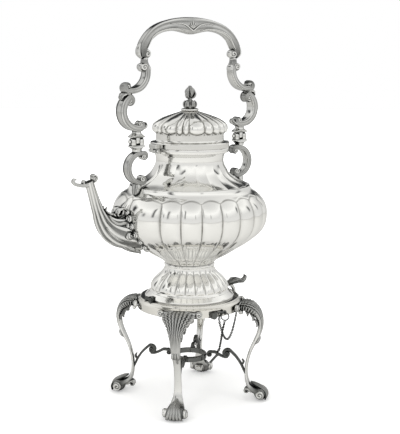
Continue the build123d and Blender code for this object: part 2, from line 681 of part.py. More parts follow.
# Side of the bail: two C scrolls, one opening inward and one outward, on the joint's tongue
LOWER_C_CENTER = from_swing(0, 34.0)
LOWER_C_RADIUS = 19.3
LOWER_C_BAND = 6.0
UPPER_C_CENTER = from_swing(8.0, 77.5)
UPPER_C_RADIUS = 21.0
UPPER_C_BAND = 4.6
with BuildPart() as bail_side:
    with BuildSketch(Plane.XZ):
        with BuildLine():
            CenterArc(LOWER_C_CENTER, LOWER_C_RADIUS, -104, 158)
        trace(line_width=LOWER_C_BAND)
        with Locations(from_swing(12.1, 44.5)):
            Circle(6.0)
        with Locations(from_swing(-3.7, 17.5)):
            Circle(5.6)
        with Locations(from_swing(12.3, 52.5)):
            Circle(3.2)
        with BuildLine():
            CenterArc(UPPER_C_CENTER, UPPER_C_RADIUS, 146, 136)
        trace(line_width=UPPER_C_BAND)
        with Locations(from_swing(14.5, 59.4)):
            Circle(5.2)
        with Locations(from_swing(-9.9, 83.1)):
            Circle(5.8)
        with Locations(from_swing(-6.3, 80.1)):
            Circle(3.4)
        with Locations(from_swing(-10.3, 88.0)):
            Rectangle(6.0, 5.0)
        with Locations(from_swing(0, bell_end + 0.8)):
            Rectangle(2 * SWING_STEM_RADIUS, 3.0)
    extrude(amount=10, both=True)
    # The band is broad in the middle of each C and narrow where they meet
    with BuildSketch(Plane.YZ):
        with BuildLine():
            right_edge = Spline(
                (5.4, BAIL_AXIS_Z + bell_end - 1),
                (6.3, BAIL_AXIS_Z + 22.5),
                (6.9, BAIL_AXIS_Z + 36.5),
                (5.6, BAIL_AXIS_Z + 51.5),
                (6.6, BAIL_AXIS_Z + 59.5),
                (8.2, BAIL_AXIS_Z + 74.5),
                (6.2, BAIL_AXIS_Z + 85.5),
                (4.6, BAIL_JOIN_Z),
            )
            left_edge = mirror(right_edge, about=Plane.YZ)
            Line(right_edge @ 0, left_edge @ 0)
            Line(right_edge @ 1, left_edge @ 1)
        make_face()
    extrude(amount=120, both=True, mode=Mode.INTERSECT)
    add(tongue.part.moved(joint_place))

save(bail_side.part, "bail_side_rear")
save(bail_side.part.rotate(Axis.Z, 180), "bail_side_front")

# Grip: the arched cross bar, thickest in the middle, with its ends rolled inward.
# Both edges are (share of the swing joint's distance out, drop from the top).
GRIP_TOP = [(0.193, 0.6), (0.386, 2.8), (0.579, 6.8), (0.739, 13.4), (0.869, 23.0), (0.946, 33.0), (0.963, 41.4)]
GRIP_UNDERSIDE = [
    (0.0, 19.6),
    (0.124, 18.2),
    (0.258, 16.2),
    (0.400, 15.8),
    (0.575, 18.2),
    (0.709, 23.4),
    (0.806, 30.6),
    (0.861, 41.0),
]
with BuildPart() as bail_grip:
    with BuildSketch(Plane.XZ) as grip_outline:
        with BuildLine():
            top = Spline(
                (0, BAIL_TOP_Z),
                *[(BAIL_AXIS_OUT * share, BAIL_TOP_Z - drop) for share, drop in GRIP_TOP],
                (BAIL_AXIS_OUT - 6.1, BAIL_JOIN_Z + 1.2),
                tangents=((1, 0), (-0.7, -1)),
            )
            low = Spline(*[(BAIL_AXIS_OUT * share, BAIL_TOP_Z - drop) for share, drop in GRIP_UNDERSIDE])
            Polyline(
                top @ 1, (BAIL_AXIS_OUT - 7.5, BAIL_JOIN_Z), (BAIL_AXIS_OUT - 13.3, BAIL_JOIN_Z), low @ 1
            )
            Line(low @ 0, top @ 0)
        make_face()
        with Locations((BAIL_AXIS_OUT - 12.1, BAIL_JOIN_Z + 7.4)):
            Circle(6.2)
        mirror(about=Plane.YZ)
    extrude(amount=GRIP_WIDTH / 2, both=True)
    with BuildSketch(Plane.XY.offset(BAIL_JOIN_Z)):
        with BuildLine():
            near_edge = Spline(
                (-90, -4.6), (-62, -4.8), (-44, -5.4), (0, -GRIP_WIDTH / 2), (44, -5.4), (62, -4.8), (90, -4.6)
            )
            far_edge = mirror(near_edge, about=Plane.XZ)
            Line(near_edge @ 0, far_edge @ 0)
            Line(near_edge @ 1, far_edge @ 1)
        make_face()
    extrude(amount=80, mode=Mode.INTERSECT)
save(bail_grip.part, "bail_grip")

# Lid: ribbed dome, plain band with a flange and a skirt, and a screwed finial
LID_FORM = [
    (15.3, 39.8, 0.5),
    (18.8, 43.0, 1.3),
    (23.1, 43.9, 1.8),
    (27.2, 41.4, 1.8),
    (32.2, 33.8, 1.6),
    (36.0, 24.4, 1.1),
    (39.4, 15.4, 0.5),
    (41.1, 10.6, 0.1),
]
LID_HOLLOW = [(37.6, 15.3), (39.8, 18.8), (40.6, 22.8), (38.0, 26.8), (30.4, 31.4), (20.0, 35.4), (8.0, 38.2)]
with BuildPart() as lid_dome:
    ribbed_loft([(RIM_HEIGHT + rise, radius, depth) for rise, radius, depth in LID_FORM])
    with BuildSketch(Plane.XZ):
        spline_profile(
            [(radius, RIM_HEIGHT + rise) for radius, rise in LID_HOLLOW],
            (0, LID_SEAT_Z),
            (0, LID_BAND_TOP),
        )
    revolve(axis=Axis.Z, mode=Mode.SUBTRACT)
    with Locations((0, 0, FINIAL_BASE_Z)):
        Cylinder(STUD_RADIUS + RUNNING_FIT, 20, mode=Mode.SUBTRACT)
save(lid_dome.part, "lid_dome")

flange_top = RIM_HEIGHT + LID_FLANGE_DEPTH
with BuildPart() as lid_band:
    with BuildSketch(Plane.XZ):
        with BuildLine():
            Polyline(
                (LID_SKIRT_RADIUS, RIM_HEIGHT),
                (LID_FLANGE_RADIUS, RIM_HEIGHT),
                (LID_FLANGE_RADIUS, flange_top - 0.8),
                (LID_FLANGE_RADIUS - 0.8, flange_top),
                (LID_BAND_RADIUS + 2.6, flange_top + 0.6),
            )
            ThreePointArc(
                (LID_BAND_RADIUS + 2.6, flange_top + 0.6),
                (LID_BAND_RADIUS + 0.8, flange_top + 1.4),
                (LID_BAND_RADIUS, flange_top + 3.0),
            )
            Polyline(
                (LID_BAND_RADIUS, flange_top + 3.0),
                (LID_BAND_RADIUS, LID_BAND_TOP),
                (LID_BAND_RADIUS - LID_WALL, LID_BAND_TOP),
                (LID_BAND_RADIUS - LID_WALL, RIM_HEIGHT - LID_SKIRT_DEPTH),
                (LID_SKIRT_RADIUS, RIM_HEIGHT - LID_SKIRT_DEPTH),
                (LID_SKIRT_RADIUS, RIM_HEIGHT),
            )
        make_face()
    revolve(axis=Axis.Z)
save(lid_band.part, "lid_band")

finial_low = FINIAL_BASE_Z + FINIAL_DISC_DEPTH
with BuildPart() as finial_disc:
    with BuildSketch(Plane.XZ):
        spline_profile(
            [(FINIAL_DISC_RADIUS - 1.2, FINIAL_BASE_Z), (FINIAL_DISC_RADIUS, FINIAL_BASE_Z + 1.4), (7.6, finial_low)],
            (STUD_RADIUS + RUNNING_FIT, finial_low),
            (STUD_RADIUS + RUNNING_FIT, FINIAL_BASE_Z),
        )
    revolve(axis=Axis.Z)
save(finial_disc.part, "finial_disc")

with BuildPart() as finial:
    with BuildSketch(Plane.XZ):
        spline_profile(
            [
                (6.0, finial_low),
                (4.6, FINIAL_BASE_Z + 7.3),
                (3.0, FINIAL_BASE_Z + 12.1),
                (2.7, FINIAL_BASE_Z + 15.3),
                (4.6, FINIAL_BASE_Z + 18.3),
                (5.6, FINIAL_BASE_Z + 21.7),
                (4.0, FINIAL_BASE_Z + 25.7),
                (0, FINIAL_BASE_Z + 27.7),
            ],
            (0, finial_low),
        )
    revolve(axis=Axis.Z)
    with Locations((0, 0, FINIAL_BASE_Z + 6.9)):
        with PolarLocations(5.0, 6):
            Sphere(2.8)
    with Locations((0, 0, FINIAL_BASE_Z + 21.3)):
        with PolarLocations(3.4, 5, start_angle=18):
            Sphere(2.9)
    with Locations((0, 0, finial_low)):
        Cylinder(STUD_RADIUS, finial_low - LID_SEAT_Z + 3.4, align=(Align.CENTER, Align.CENTER, Align.MAX))
save(finial.part, "finial")

with BuildPart() as finial_nut:
    with BuildSketch(Plane.XY.offset(LID_SEAT_Z - NUT_DEPTH)):
        RegularPolygon(NUT_RADIUS, 6)
        Circle(STUD_RADIUS + RUNNING_FIT, mode=Mode.SUBTRACT)
    extrude(amount=NUT_DEPTH)
save(finial_nut.part, "finial_nut")

# Lid hinge at the spout side: seat on the kettle's rim, leaf on the lid's flange
hinge_half = LID_LUG_WIDTH / 2
slot_half = LID_KNUCKLE_LENGTH / 2 + SIDE_PLAY
with BuildPart() as lid_hinge_seat:
    with BuildSketch(Plane.XZ.offset(-hinge_half)):
        with Locations((LID_AXIS_X, LID_AXIS_Z)):
            Circle(LID_KNUCKLE_RADIUS)
        Polygon(
            (LID_AXIS_X, LID_AXIS_Z - LID_KNUCKLE_RADIUS),
            (LID_AXIS_X, LID_AXIS_Z + LID_KNUCKLE_RADIUS),
            (-RIM_RADIUS + 2, LID_AXIS_Z + LID_KNUCKLE_RADIUS),
            (-RIM_RADIUS + 2, RIM_HEIGHT - RIM_BAND),
            (-RIM_RADIUS - 1, RIM_HEIGHT - RIM_BAND),
            align=None,
        )
    extrude(amount=LID_LUG_WIDTH)
    with Locations((LID_AXIS_X, 0, LID_AXIS_Z)):
        Box(2 * (abs(LID_AXIS_X) - RIM_RADIUS), 2 * slot_half, 20, mode=Mode.SUBTRACT)
    with BuildSketch(Plane.XZ.offset(-LID_LUG_WIDTH)):
        with Locations((LID_AXIS_X, LID_AXIS_Z)):
            Circle(LID_PIN_RADIUS)
    extrude(amount=2 * LID_LUG_WIDTH, mode=Mode.SUBTRACT)
    add(body_form.part, mode=Mode.SUBTRACT)
save(lid_hinge_seat.part, "lid_hinge_seat")

leaf_low = RIM_HEIGHT + LID_LEAF_GAP
with BuildPart() as lid_hinge_leaf:
    with BuildSketch(Plane.XZ.offset(-hinge_half)):
        Polygon(
            (LID_AXIS_X - LID_KNUCKLE_RADIUS, leaf_low),
            (-LID_FLANGE_RADIUS + 3, leaf_low),
            (-LID_FLANGE_RADIUS + 3, flange_top - 1.0),
            (LID_AXIS_X - LID_KNUCKLE_RADIUS + 1, flange_top - 1.0),
            (LID_AXIS_X - LID_KNUCKLE_RADIUS, flange_top - 2.0),
            align=None,
        )
    extrude(amount=LID_LUG_WIDTH)
    with BuildSketch(Plane.XZ.offset(-LID_KNUCKLE_LENGTH / 2)):
        with Locations((LID_AXIS_X, LID_AXIS_Z)):
            Circle(LID_KNUCKLE_RADIUS)
        with Locations((LID_AXIS_X, (LID_AXIS_Z + leaf_low) / 2 + 0.5)):
            Rectangle(2 * LID_KNUCKLE_RADIUS, leaf_low - LID_AXIS_Z + 1.0)
    extrude(amount=LID_KNUCKLE_LENGTH)
    with BuildSketch(Plane.XZ.offset(-LID_LUG_WIDTH)):
        with Locations((LID_AXIS_X, LID_AXIS_Z)):
            Circle(LID_PIN_RADIUS + RUNNING_FIT)
    extrude(amount=2 * LID_LUG_WIDTH, mode=Mode.SUBTRACT)
    with Locations((0, 0, RIM_HEIGHT)):
        Cylinder(LID_FLANGE_RADIUS, 40, mode=Mode.SUBTRACT)
save(lid_hinge_leaf.part, "lid_hinge_leaf")

with BuildPart() as lid_hinge_pin:
    with BuildSketch(Plane.XZ.offset(-hinge_half - 0.6)):
        with Locations((LID_AXIS_X, LID_AXIS_Z)):
            Circle(LID_PIN_RADIUS)
    extrude(amount=LID_LUG_WIDTH + 1.2)
    with Locations((LID_AXIS_X, -hinge_half - 1.4, LID_AXIS_Z), (LID_AXIS_X, hinge_half + 1.4, LID_AXIS_Z)):
        Sphere(LID_PIN_HEAD)
save(lid_hinge_pin.part, "lid_hinge_pin")

# Lift lug at the back of the lid and the stop lug under it
with BuildPart() as lid_lift:
    with BuildSketch(Plane.XY.offset(leaf_low)):
        with Locations((LID_FLANGE_RADIUS + 2.0, 0)):
            RectangleRounded(8.6, LID_LUG_WIDTH, 2.0)
    extrude(amount=LID_FLANGE_DEPTH - 1.4)
    with Locations((0, 0, RIM_HEIGHT)):
        Cylinder(LID_FLANGE_RADIUS, 40, mode=Mode.SUBTRACT)
save(lid_lift.part, "lid_lift")

with BuildPart() as rim_stop:
    with BuildSketch(Plane.XY.offset(RIM_HEIGHT - RIM_BAND)):
        with Locations((RIM_RADIUS + 1.6, 0)):
            RectangleRounded(7.0, LID_LUG_WIDTH, 2.0)
    extrude(amount=RIM_BAND)
    add(body_form.part, mode=Mode.SUBTRACT)
save(rim_stop.part, "rim_stop")

# Tilting hinge: ears on the ring, knuckle on the kettle's foot rim, one pin through all
ear_start = TILT_KNUCKLE_LENGTH / 2 + SIDE_PLAY
for name, side in (("left", -1), ("right", 1)):
    with BuildPart() as tilt_ear:
        with BuildSketch(Plane.XZ.offset(-side * ear_start)):
            with Locations((TILT_AXIS_X, TILT_AXIS_Z)):
                Circle(TILT_KNUCKLE_RADIUS)
                Circle(TILT_PIN_RADIUS, mode=Mode.SUBTRACT)
            with Locations((TILT_AXIS_X, TILT_AXIS_Z - 2.8)):
                Rectangle(2 * TILT_KNUCKLE_RADIUS, 3.6)
        extrude(amount=-side * TILT_EAR_LENGTH)
        add(stand_ring.part, mode=Mode.SUBTRACT)
    save(tilt_ear.part, f"tilt_ear_{name}")

with BuildPart() as tilt_knuckle:
    with BuildSketch(Plane.XZ.offset(-TILT_KNUCKLE_LENGTH / 2)):
        with Locations((TILT_AXIS_X, TILT_AXIS_Z)):
            Circle(TILT_KNUCKLE_RADIUS)
        Polygon(
            (TILT_AXIS_X, TILT_AXIS_Z + TILT_KNUCKLE_RADIUS),
            (-FOOT_RIM_RADIUS + 3.4, TILT_AXIS_Z + TILT_KNUCKLE_RADIUS),
            (-FOOT_RIM_RADIUS + 3.4, SEAT_HEIGHT + TOUCH_GAP),
            (TILT_AXIS_X, SEAT_HEIGHT + TOUCH_GAP),
            align=None,
        )
    extrude(amount=TILT_KNUCKLE_LENGTH)
    with BuildSketch(Plane.XZ.offset(-20)):
        with Locations((TILT_AXIS_X, TILT_AXIS_Z)):
            Circle(TILT_PIN_RADIUS + RUNNING_FIT)
    extrude(amount=40, mode=Mode.SUBTRACT)
    add(foot_rim.part, mode=Mode.SUBTRACT)
save(tilt_knuckle.part, "tilt_knuckle")

with BuildPart() as tilt_pin:
    with BuildSketch(Plane.XZ.offset(-ear_start - TILT_EAR_LENGTH - 0.4)):
        with Locations((TILT_AXIS_X, TILT_AXIS_Z)):
            Circle(TILT_PIN_RADIUS)
    extrude(amount=2 * (ear_start + TILT_EAR_LENGTH + 0.4))
save(tilt_pin.part, "tilt_pin")

# Back lock: ears on the ring, a drawn pin, and a hook with a leaf-shaped thumb piece on the kettle
lock_ear_start = HOOK_THICKNESS / 2 + SIDE_PLAY
with BuildPart() as lock_ears:
    with BuildSketch(Plane.XY.offset(ring_bottom + 1.4)):
        with BuildLine():
            near_arc = CenterArc((0, 0), RING_RADIUS, -7, 14)
            far_arc = CenterArc((0, 0), RING_RADIUS + LOCK_BASE_THICKNESS, -7, 14)
            Line(near_arc @ 0, far_arc @ 0)
            Line(near_arc @ 1, far_arc @ 1)
        make_face()
    extrude(amount=RING_DEPTH - 6.0)
    for side in (-1, 1):
        with BuildSketch(Plane.XZ.offset(-side * lock_ear_start)):
            with Locations((LOCK_PIN_X, LOCK_PIN_Z)):
                Circle(LOCK_EAR_RADIUS)
            with Locations(((LOCK_PIN_X + RING_RADIUS) / 2, LOCK_PIN_Z + 0.6)):
                Rectangle(LOCK_PIN_X - RING_RADIUS, 2 * LOCK_EAR_RADIUS - 2.4)
        extrude(amount=-side * LOCK_EAR_THICKNESS)
    with BuildSketch(Plane.XZ.offset(-20)):
        with Locations((LOCK_PIN_X, LOCK_PIN_Z)):
            Circle(LOCK_PIN_RADIUS + RUNNING_FIT)
    extrude(amount=40, mode=Mode.SUBTRACT)
    with Locations((0, 0, ring_bottom)):
        Cylinder(RING_RADIUS, 60, mode=Mode.SUBTRACT)
save(lock_ears.part, "lock_ears")

lock_ear_face = lock_ear_start + LOCK_EAR_THICKNESS
collar_start = lock_ear_face + SIDE_PLAY
with BuildPart() as lock_pin:
    with BuildSketch(Plane.XZ.offset(collar_start)):
        with Locations((LOCK_PIN_X, LOCK_PIN_Z)):
            Circle(LOCK_PIN_RADIUS)
    extrude(amount=-collar_start - lock_ear_face - 1.0)
    with BuildSketch(Plane.XZ.offset(collar_start)):
        with Locations((LOCK_PIN_X, LOCK_PIN_Z)):
            Circle(LOCK_COLLAR_RADIUS)
    extrude(amount=LOCK_COLLAR_LENGTH)
    bow_center = -collar_start - LOCK_COLLAR_LENGTH - LOCK_BOW_RADIUS
    with BuildSketch(Plane.XY.offset(LOCK_PIN_Z)):
        with Locations((LOCK_PIN_X, bow_center - LOCK_BOW_RADIUS)):
            Circle(LOCK_BOW_WIRE)
    revolve(axis=Axis((LOCK_PIN_X, bow_center, LOCK_PIN_Z), (1, 0, 0)))
save(lock_pin.part, "lock_pin")

# Thumb piece stations are (distance out from the ring, rise above the seat, half thickness, half width)
THUMB_FORM = [
    (-3.3, 5.6, 2.2, 3.6),
    (2.2, 7.8, 2.6, 6.0),
    (8.2, 8.4, 2.3, 7.0),
    (14.2, 7.0, 1.8, 5.2),
    (19.2, 7.6, 1.4, 3.4),
    (22.2, 10.8, 1.2, 2.2),
]
hook_slot = LOCK_PIN_RADIUS + LOOSE_PLAY + 0.2
with BuildPart() as rear_hook:
    with BuildSketch(Plane.XZ):
        with Locations((LOCK_PIN_X, LOCK_PIN_Z)):
            Circle(HOOK_RADIUS)
        with BuildLine():
            Spline(
                (FOOT_RIM_RADIUS - 3, SEAT_HEIGHT + 4.0),
                (RING_RADIUS - 2.8, SEAT_HEIGHT + 4.6),
                (RING_RADIUS + 3.7, SEAT_HEIGHT + 0.6),
                (LOCK_PIN_X, LOCK_PIN_Z + 2.5),
            )
        trace(line_width=4.0)
        with Locations((LOCK_PIN_X, LOCK_PIN_Z)):
            Circle(hook_slot, mode=Mode.SUBTRACT)
        with Locations((LOCK_PIN_X, LOCK_PIN_Z - 4)):
            Rectangle(2 * hook_slot, 8, mode=Mode.SUBTRACT)
    extrude(amount=HOOK_THICKNESS / 2, both=True)
    oval_loft([(RING_RADIUS + out, SEAT_HEIGHT + rise, thick, wide) for out, rise, thick, wide in THUMB_FORM])
    add(foot_rim.part, mode=Mode.SUBTRACT)
save(rear_hook.part, "rear_hook")

# Staple on the ring's left side, with the bow that both chains hang from
STAPLE_X = -9.6
STAPLE_Z = SEAT_HEIGHT - 7.4
STAPLE_Y = -RING_RADIUS - 2.8
EYE_X = 5.4
EYE_RADIUS = 2.0
EYE_WIRE = 0.75
with BuildPart() as chain_staple:
    with BuildSketch(Plane.XZ.offset(RING_RADIUS - 3)):
        with Locations((STAPLE_X, STAPLE_Z - 3.4)):
            Circle(3.8)
    extrude(amount=6.6)
    with BuildSketch(Plane.YZ.offset(STAPLE_X)):
        with Locations((STAPLE_Y, STAPLE_Z)):
            Circle(1.0)
    extrude(amount=EYE_X - STAPLE_X - EYE_WIRE + 0.3)
    with BuildSketch(Plane.XY.offset(STAPLE_Z - 1.2)):
        with Locations((EYE_X, STAPLE_Y - EYE_RADIUS)):
            Circle(EYE_WIRE)
    revolve(axis=Axis((EYE_X, STAPLE_Y, STAPLE_Z - 1.2), (1, 0, 0)))
    with Locations((0, 0, ring_bottom)):
        Cylinder(RING_RADIUS, 60, mode=Mode.SUBTRACT)
save(chain_staple.part, "chain_staple")

bow_z = STAPLE_Z - 1.2 - EYE_RADIUS + EYE_WIRE + BOW_WIRE + 0.1 - BOW_RADIUS
bow_facing = Vector(-sin(radians(BOW_ANGLE)), -cos(radians(BOW_ANGLE)), 0)
bow_side = Vector(cos(radians(BOW_ANGLE)), -sin(radians(BOW_ANGLE)), 0)
bow_middle = Vector(EYE_X, STAPLE_Y, bow_z)
with BuildPart() as chain_bow:
    with BuildSketch(Plane(bow_middle + bow_side * BOW_RADIUS, x_dir=bow_side, z_dir=bow_facing.cross(bow_side))):
        Circle(BOW_WIRE)
    revolve(axis=Axis(bow_middle, bow_facing))
save(chain_bow.part, "chain_bow")

# Chains as slim tubes along their routes; the lock pin's chain sags between staple and pin
bow_low = bow_z - BOW_RADIUS - BOW_WIRE - TOUCH_GAP
PIN_CHAIN_TOP = Vector(-2.6, STAPLE_Y, STAPLE_Z - 1.0 - TOUCH_GAP)
PIN_CHAIN_START = Vector(-2.6, STAPLE_Y, SEAT_HEIGHT - 17.8)
PIN_CHAIN_END = Vector(LOCK_PIN_X, bow_center + 0.4, LOCK_PIN_Z - LOCK_BOW_RADIUS - LOCK_BOW_WIRE - TOUCH_GAP)
PIN_CHAIN_SAG = 34.0
PIN_CHAIN_SPANS = 8
sagging = [PIN_CHAIN_TOP]
for k in range(PIN_CHAIN_SPANS + 1):
    share = k / PIN_CHAIN_SPANS
    drop = Vector(0, 0, -4 * PIN_CHAIN_SAG * share * (1 - share))
    sagging.append(PIN_CHAIN_START + (PIN_CHAIN_END - PIN_CHAIN_START) * share + drop)


def chain_tube(route):
    """Sweep the chain's section along straight runs joined by tangent arcs."""
    radii = []
    for before, at, after in zip(route, route[1:], route[2:]):
        run = min((at - before).length, (after - at).length)
        half_turn = radians((at - before).get_angle(after - at) / 2)
        radii.append(0.45 * run / max(sin(half_turn) / cos(half_turn), 0.01))
    with BuildLine() as run:
        path = FilletPolyline(*route, radius=radii)
    with BuildSketch(Plane(path @ 0, z_dir=path % 0)) as section:
        Circle(CHAIN_RADIUS)
    sweep(sections=section.sketch, path=run.line)


with BuildPart() as pin_chain:
    chain_tube(sagging)
save(pin_chain.part, "pin_chain")

LOOSE_PIN_TOP = Vector(27.0, -20.6, 50.4)
LOOSE_PIN_TIP = Vector(22.0, -13.2, 39.6)
LOOSE_ROUTE = [
    Vector(EYE_X, STAPLE_Y + 0.4, bow_low),
    Vector(10.4, -52.6, 89.0),
    Vector(17.2, -41.6, 76.6),
    Vector(22.6, -32.0, 65.6),
    Vector(25.2, -26.4, 57.4),
    Vector(27.4, -22.0, 56.4),
    Vector(27.2, -20.8, 52.6),
]
with BuildPart() as loose_chain:
    chain_tube(LOOSE_ROUTE)
save(loose_chain.part, "loose_chain")

pin_direction = (LOOSE_PIN_TIP - LOOSE_PIN_TOP).normalized()
with BuildPart() as loose_pin:
    with BuildSketch(Plane(LOOSE_PIN_TOP, z_dir=pin_direction)):
        Circle(LOCK_PIN_RADIUS)
    extrude(amount=(LOOSE_PIN_TIP - LOOSE_PIN_TOP).length)
    with Locations(LOOSE_PIN_TOP):
        Sphere(2.0)
save(loose_pin.part, "loose_pin")
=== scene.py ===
# %% [markdown]
# # A silver tea kettle on its stand
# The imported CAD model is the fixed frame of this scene. Lofted and cast pieces are drawn again here as
# numpy surfaces, because chasing, leaves and scroll ribs need far finer relief than a CAD solid carries.
# Every surface is computed in millimetres in the model's own frame and put into its mesh in metres.

import math
from functools import partial

import bpy
import numpy as np
from mathutils import Matrix, Vector


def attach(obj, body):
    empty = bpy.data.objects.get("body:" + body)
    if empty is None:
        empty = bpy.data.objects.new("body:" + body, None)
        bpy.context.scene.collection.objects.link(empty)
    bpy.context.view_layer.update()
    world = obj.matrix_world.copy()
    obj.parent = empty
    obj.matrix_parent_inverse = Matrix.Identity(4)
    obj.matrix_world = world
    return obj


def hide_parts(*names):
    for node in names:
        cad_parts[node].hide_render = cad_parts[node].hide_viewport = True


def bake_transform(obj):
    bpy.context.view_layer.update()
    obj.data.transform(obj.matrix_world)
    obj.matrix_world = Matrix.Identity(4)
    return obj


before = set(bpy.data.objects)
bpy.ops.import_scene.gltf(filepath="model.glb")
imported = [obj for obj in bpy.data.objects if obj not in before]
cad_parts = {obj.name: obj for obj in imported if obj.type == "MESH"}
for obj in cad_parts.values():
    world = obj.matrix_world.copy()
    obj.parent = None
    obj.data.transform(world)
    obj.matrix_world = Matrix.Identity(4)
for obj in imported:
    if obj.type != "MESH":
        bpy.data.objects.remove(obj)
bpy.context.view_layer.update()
MM = 0.001

# %% [markdown]
# ## Camera
# A long lens a little above the object, between its left side and its spout. Position, tilt and lens come
# from fitting the ellipses of the ring, the rim and the foot.

# %% Camera
CAMERA_PLACE = (-0.6413, -0.9322, 0.4109)
CAMERA_TURN, CAMERA_TILT, CAMERA_ROLL = -35.15, 80.36, 0.275
camera_data = bpy.data.cameras.new("camera")
camera = bpy.data.objects.new("camera", camera_data)
bpy.context.scene.collection.objects.link(camera)
turn = Matrix.Rotation(math.radians(CAMERA_TURN), 4, "Z") @ Matrix.Rotation(math.radians(CAMERA_TILT), 4, "X")
roll = Matrix.Rotation(math.radians(CAMERA_ROLL), 4, "Z")
camera.matrix_world = Matrix.Translation(CAMERA_PLACE) @ turn @ roll
camera_data.sensor_fit = "VERTICAL"
camera_data.sensor_height = 36.0
camera_data.lens = 80.66
camera_data.clip_end = 50.0
bpy.context.scene.camera = camera

# %% [markdown]
# ## Light
# Polished silver shows nothing but what stands round it. A bright dome with a few dark panels in it gives the
# long grey streaks that the photograph has in the neck and on the lobes. The camera itself sees plain white.

# %% World and lamps
scene = bpy.context.scene
scene.view_settings.view_transform = "Standard"
world = bpy.data.worlds.new("studio")
scene.world = world
world.use_nodes = True
wn = world.node_tree
wn.nodes.clear()


def fill(tree, slot, value):
    """Give an input its value, or link it if the value is a socket."""
    if isinstance(value, bpy.types.NodeSocket):
        tree.links.new(value, slot)
    else:
        slot.default_value = value


def add(tree, kind, **inputs):
    """A shader node of a kind. Inputs are values or sockets, by name, with _ for a blank."""
    node = tree.nodes.new("ShaderNode" + kind)
    for label, value in inputs.items():
        fill(tree, node.inputs[label.replace("_", " ")], value)
    return node


def math_node(tree, op, a, b=0.0, clamp=False):
    """The result of a math node; a and b are numbers or sockets."""
    node = add(tree, "Math")
    node.operation = op
    node.use_clamp = clamp
    fill(tree, node.inputs[0], a)
    fill(tree, node.inputs[1], b)
    return node.outputs[0]


def mix_color(tree, factor, a, b):
    """The result of a colour mix node; factor, a and b are values or sockets."""
    node = add(tree, "Mix")
    node.data_type = "RGBA"
    for label, value in (("Factor", factor), ("A", a), ("B", b)):
        fill(tree, node.inputs[label], value)
    return node.outputs["Result"]


split = add(wn, "SeparateXYZ", Vector=add(wn, "TexCoord").outputs["Generated"])
wmath = partial(math_node, wn)
PANEL_EDGE = 0.12
PANEL_FRONT = 20.0


def panel(azimuth, half_width, low, high):
    """1 inside a dark panel: azimuth and half width in degrees, low and high as sines of the elevation."""
    x, y, z = split.outputs
    c, s = math.cos(math.radians(azimuth)), math.sin(math.radians(azimuth))
    across = wmath("ADD", wmath("MULTIPLY", x, -s), wmath("MULTIPLY", y, c))
    ahead = wmath("ADD", wmath("MULTIPLY", x, c), wmath("MULTIPLY", y, s))
    room = wmath("SUBTRACT", math.sin(math.radians(half_width)), wmath("ABSOLUTE", across))
    inside = wmath("DIVIDE", room, PANEL_EDGE, True)
    front = wmath("MULTIPLY", ahead, PANEL_FRONT, True)
    above = wmath("DIVIDE", wmath("SUBTRACT", z, low), PANEL_EDGE, True)
    below = wmath("DIVIDE", wmath("SUBTRACT", high, z), PANEL_EDGE, True)
    return wmath("MULTIPLY", wmath("MULTIPLY", inside, front), wmath("MULTIPLY", above, below))


PANELS = [
    (-163, 7, 0.22, 0.8), (-100, 4, 0.25, 0.6), (-15, 8, 0.22, 0.6), (55, 26, 0, 0.75), (125, 10, 0.2, 0.6),
    (165, 6, 0.2, 0.5)
]
# Ramp positions are 0 straight down, 0.5 at the horizon and 1 straight up; the ramp comes with two stops
DOME = [
    (0.50, (0.82, 0.82, 0.81, 1)), (1.0, (0.70, 0.70, 0.69, 1)), (0.66, (0.78, 0.78, 0.77, 1)),
    (0.80, (1.05, 1.05, 1.03, 1))
]
dark = None
for spec in PANELS:
    mask = panel(*spec)
    dark = mask if dark is None else wmath("MAXIMUM", dark, mask)
height = wmath("ADD", wmath("MULTIPLY", split.outputs[2], 0.5), 0.5)
dome = add(wn, "ValToRGB", Fac=height)
ramp = dome.color_ramp.elements
for k, (position, color) in enumerate(DOME):
    stop = ramp[k] if k < 2 else ramp.new(position)
    stop.position = position
    stop.color = color
tone = mix_color(wn, dark, dome.outputs["Color"], (0.05, 0.053, 0.055, 1))
white = mix_color(wn, add(wn, "LightPath").outputs["Is Camera Ray"], tone, (1, 1, 1, 1))
add(wn, "OutputWorld", Surface=add(wn, "Background", Color=white).outputs[0])


def lamp(name, place, size, power):
    """A square soft box at place that faces the middle of the object."""
    data = bpy.data.lights.new(name, "AREA")
    data.shape = "SQUARE"
    data.size = size
    data.energy = power
    obj = bpy.data.objects.new(name, data)
    scene.collection.objects.link(obj)
    aim = Vector(place) - Vector((0, 0, 0.2))
    obj.matrix_world = Matrix.Translation(place) @ aim.to_track_quat("Z", "Y").to_matrix().to_4x4()
    obj.visible_glossy = False


lamp("key_light", (-1.6, -0.9, 1.3), 0.7, 9.0)
lamp("fill_light", (0.9, -1.7, 0.9), 0.5, 3.0)
lamp("top_light", (0.1, 0.1, 2.2), 1.2, 6.0)

# %% [markdown]
# ## Helpers for surfaces
# A surface is a grid of points: rows run along the piece, columns run round it. Closed columns and a pole at
# each end make a watertight skin, and rows that close on themselves make a ring. One helper turns any number
# of such grids into one mesh. It also stores a darkening value at each point: tarnish in recesses, and in
# many places painted shade as well.

# %% Grid to mesh
def spline(points, count):
    """Catmull-Rom curve: cubics whose slope at a point is half the step between its neighbours."""
    p = np.asarray(points, float)
    p = np.vstack([2 * p[0] - p[1], p, 2 * p[-1] - p[-2]])
    t = np.linspace(0, len(p) - 3, count)
    i = np.minimum(t.astype(int), len(p) - 4)
    u = (t - i)[:, None]
    a, b, c, d = p[i], p[i + 1], p[i + 2], p[i + 3]
    return 0.5 * (2 * b + (c - a) * u + (2 * a - 5 * b + 4 * c - d) * u**2 + (3 * b - a - 3 * c + d) * u**3)


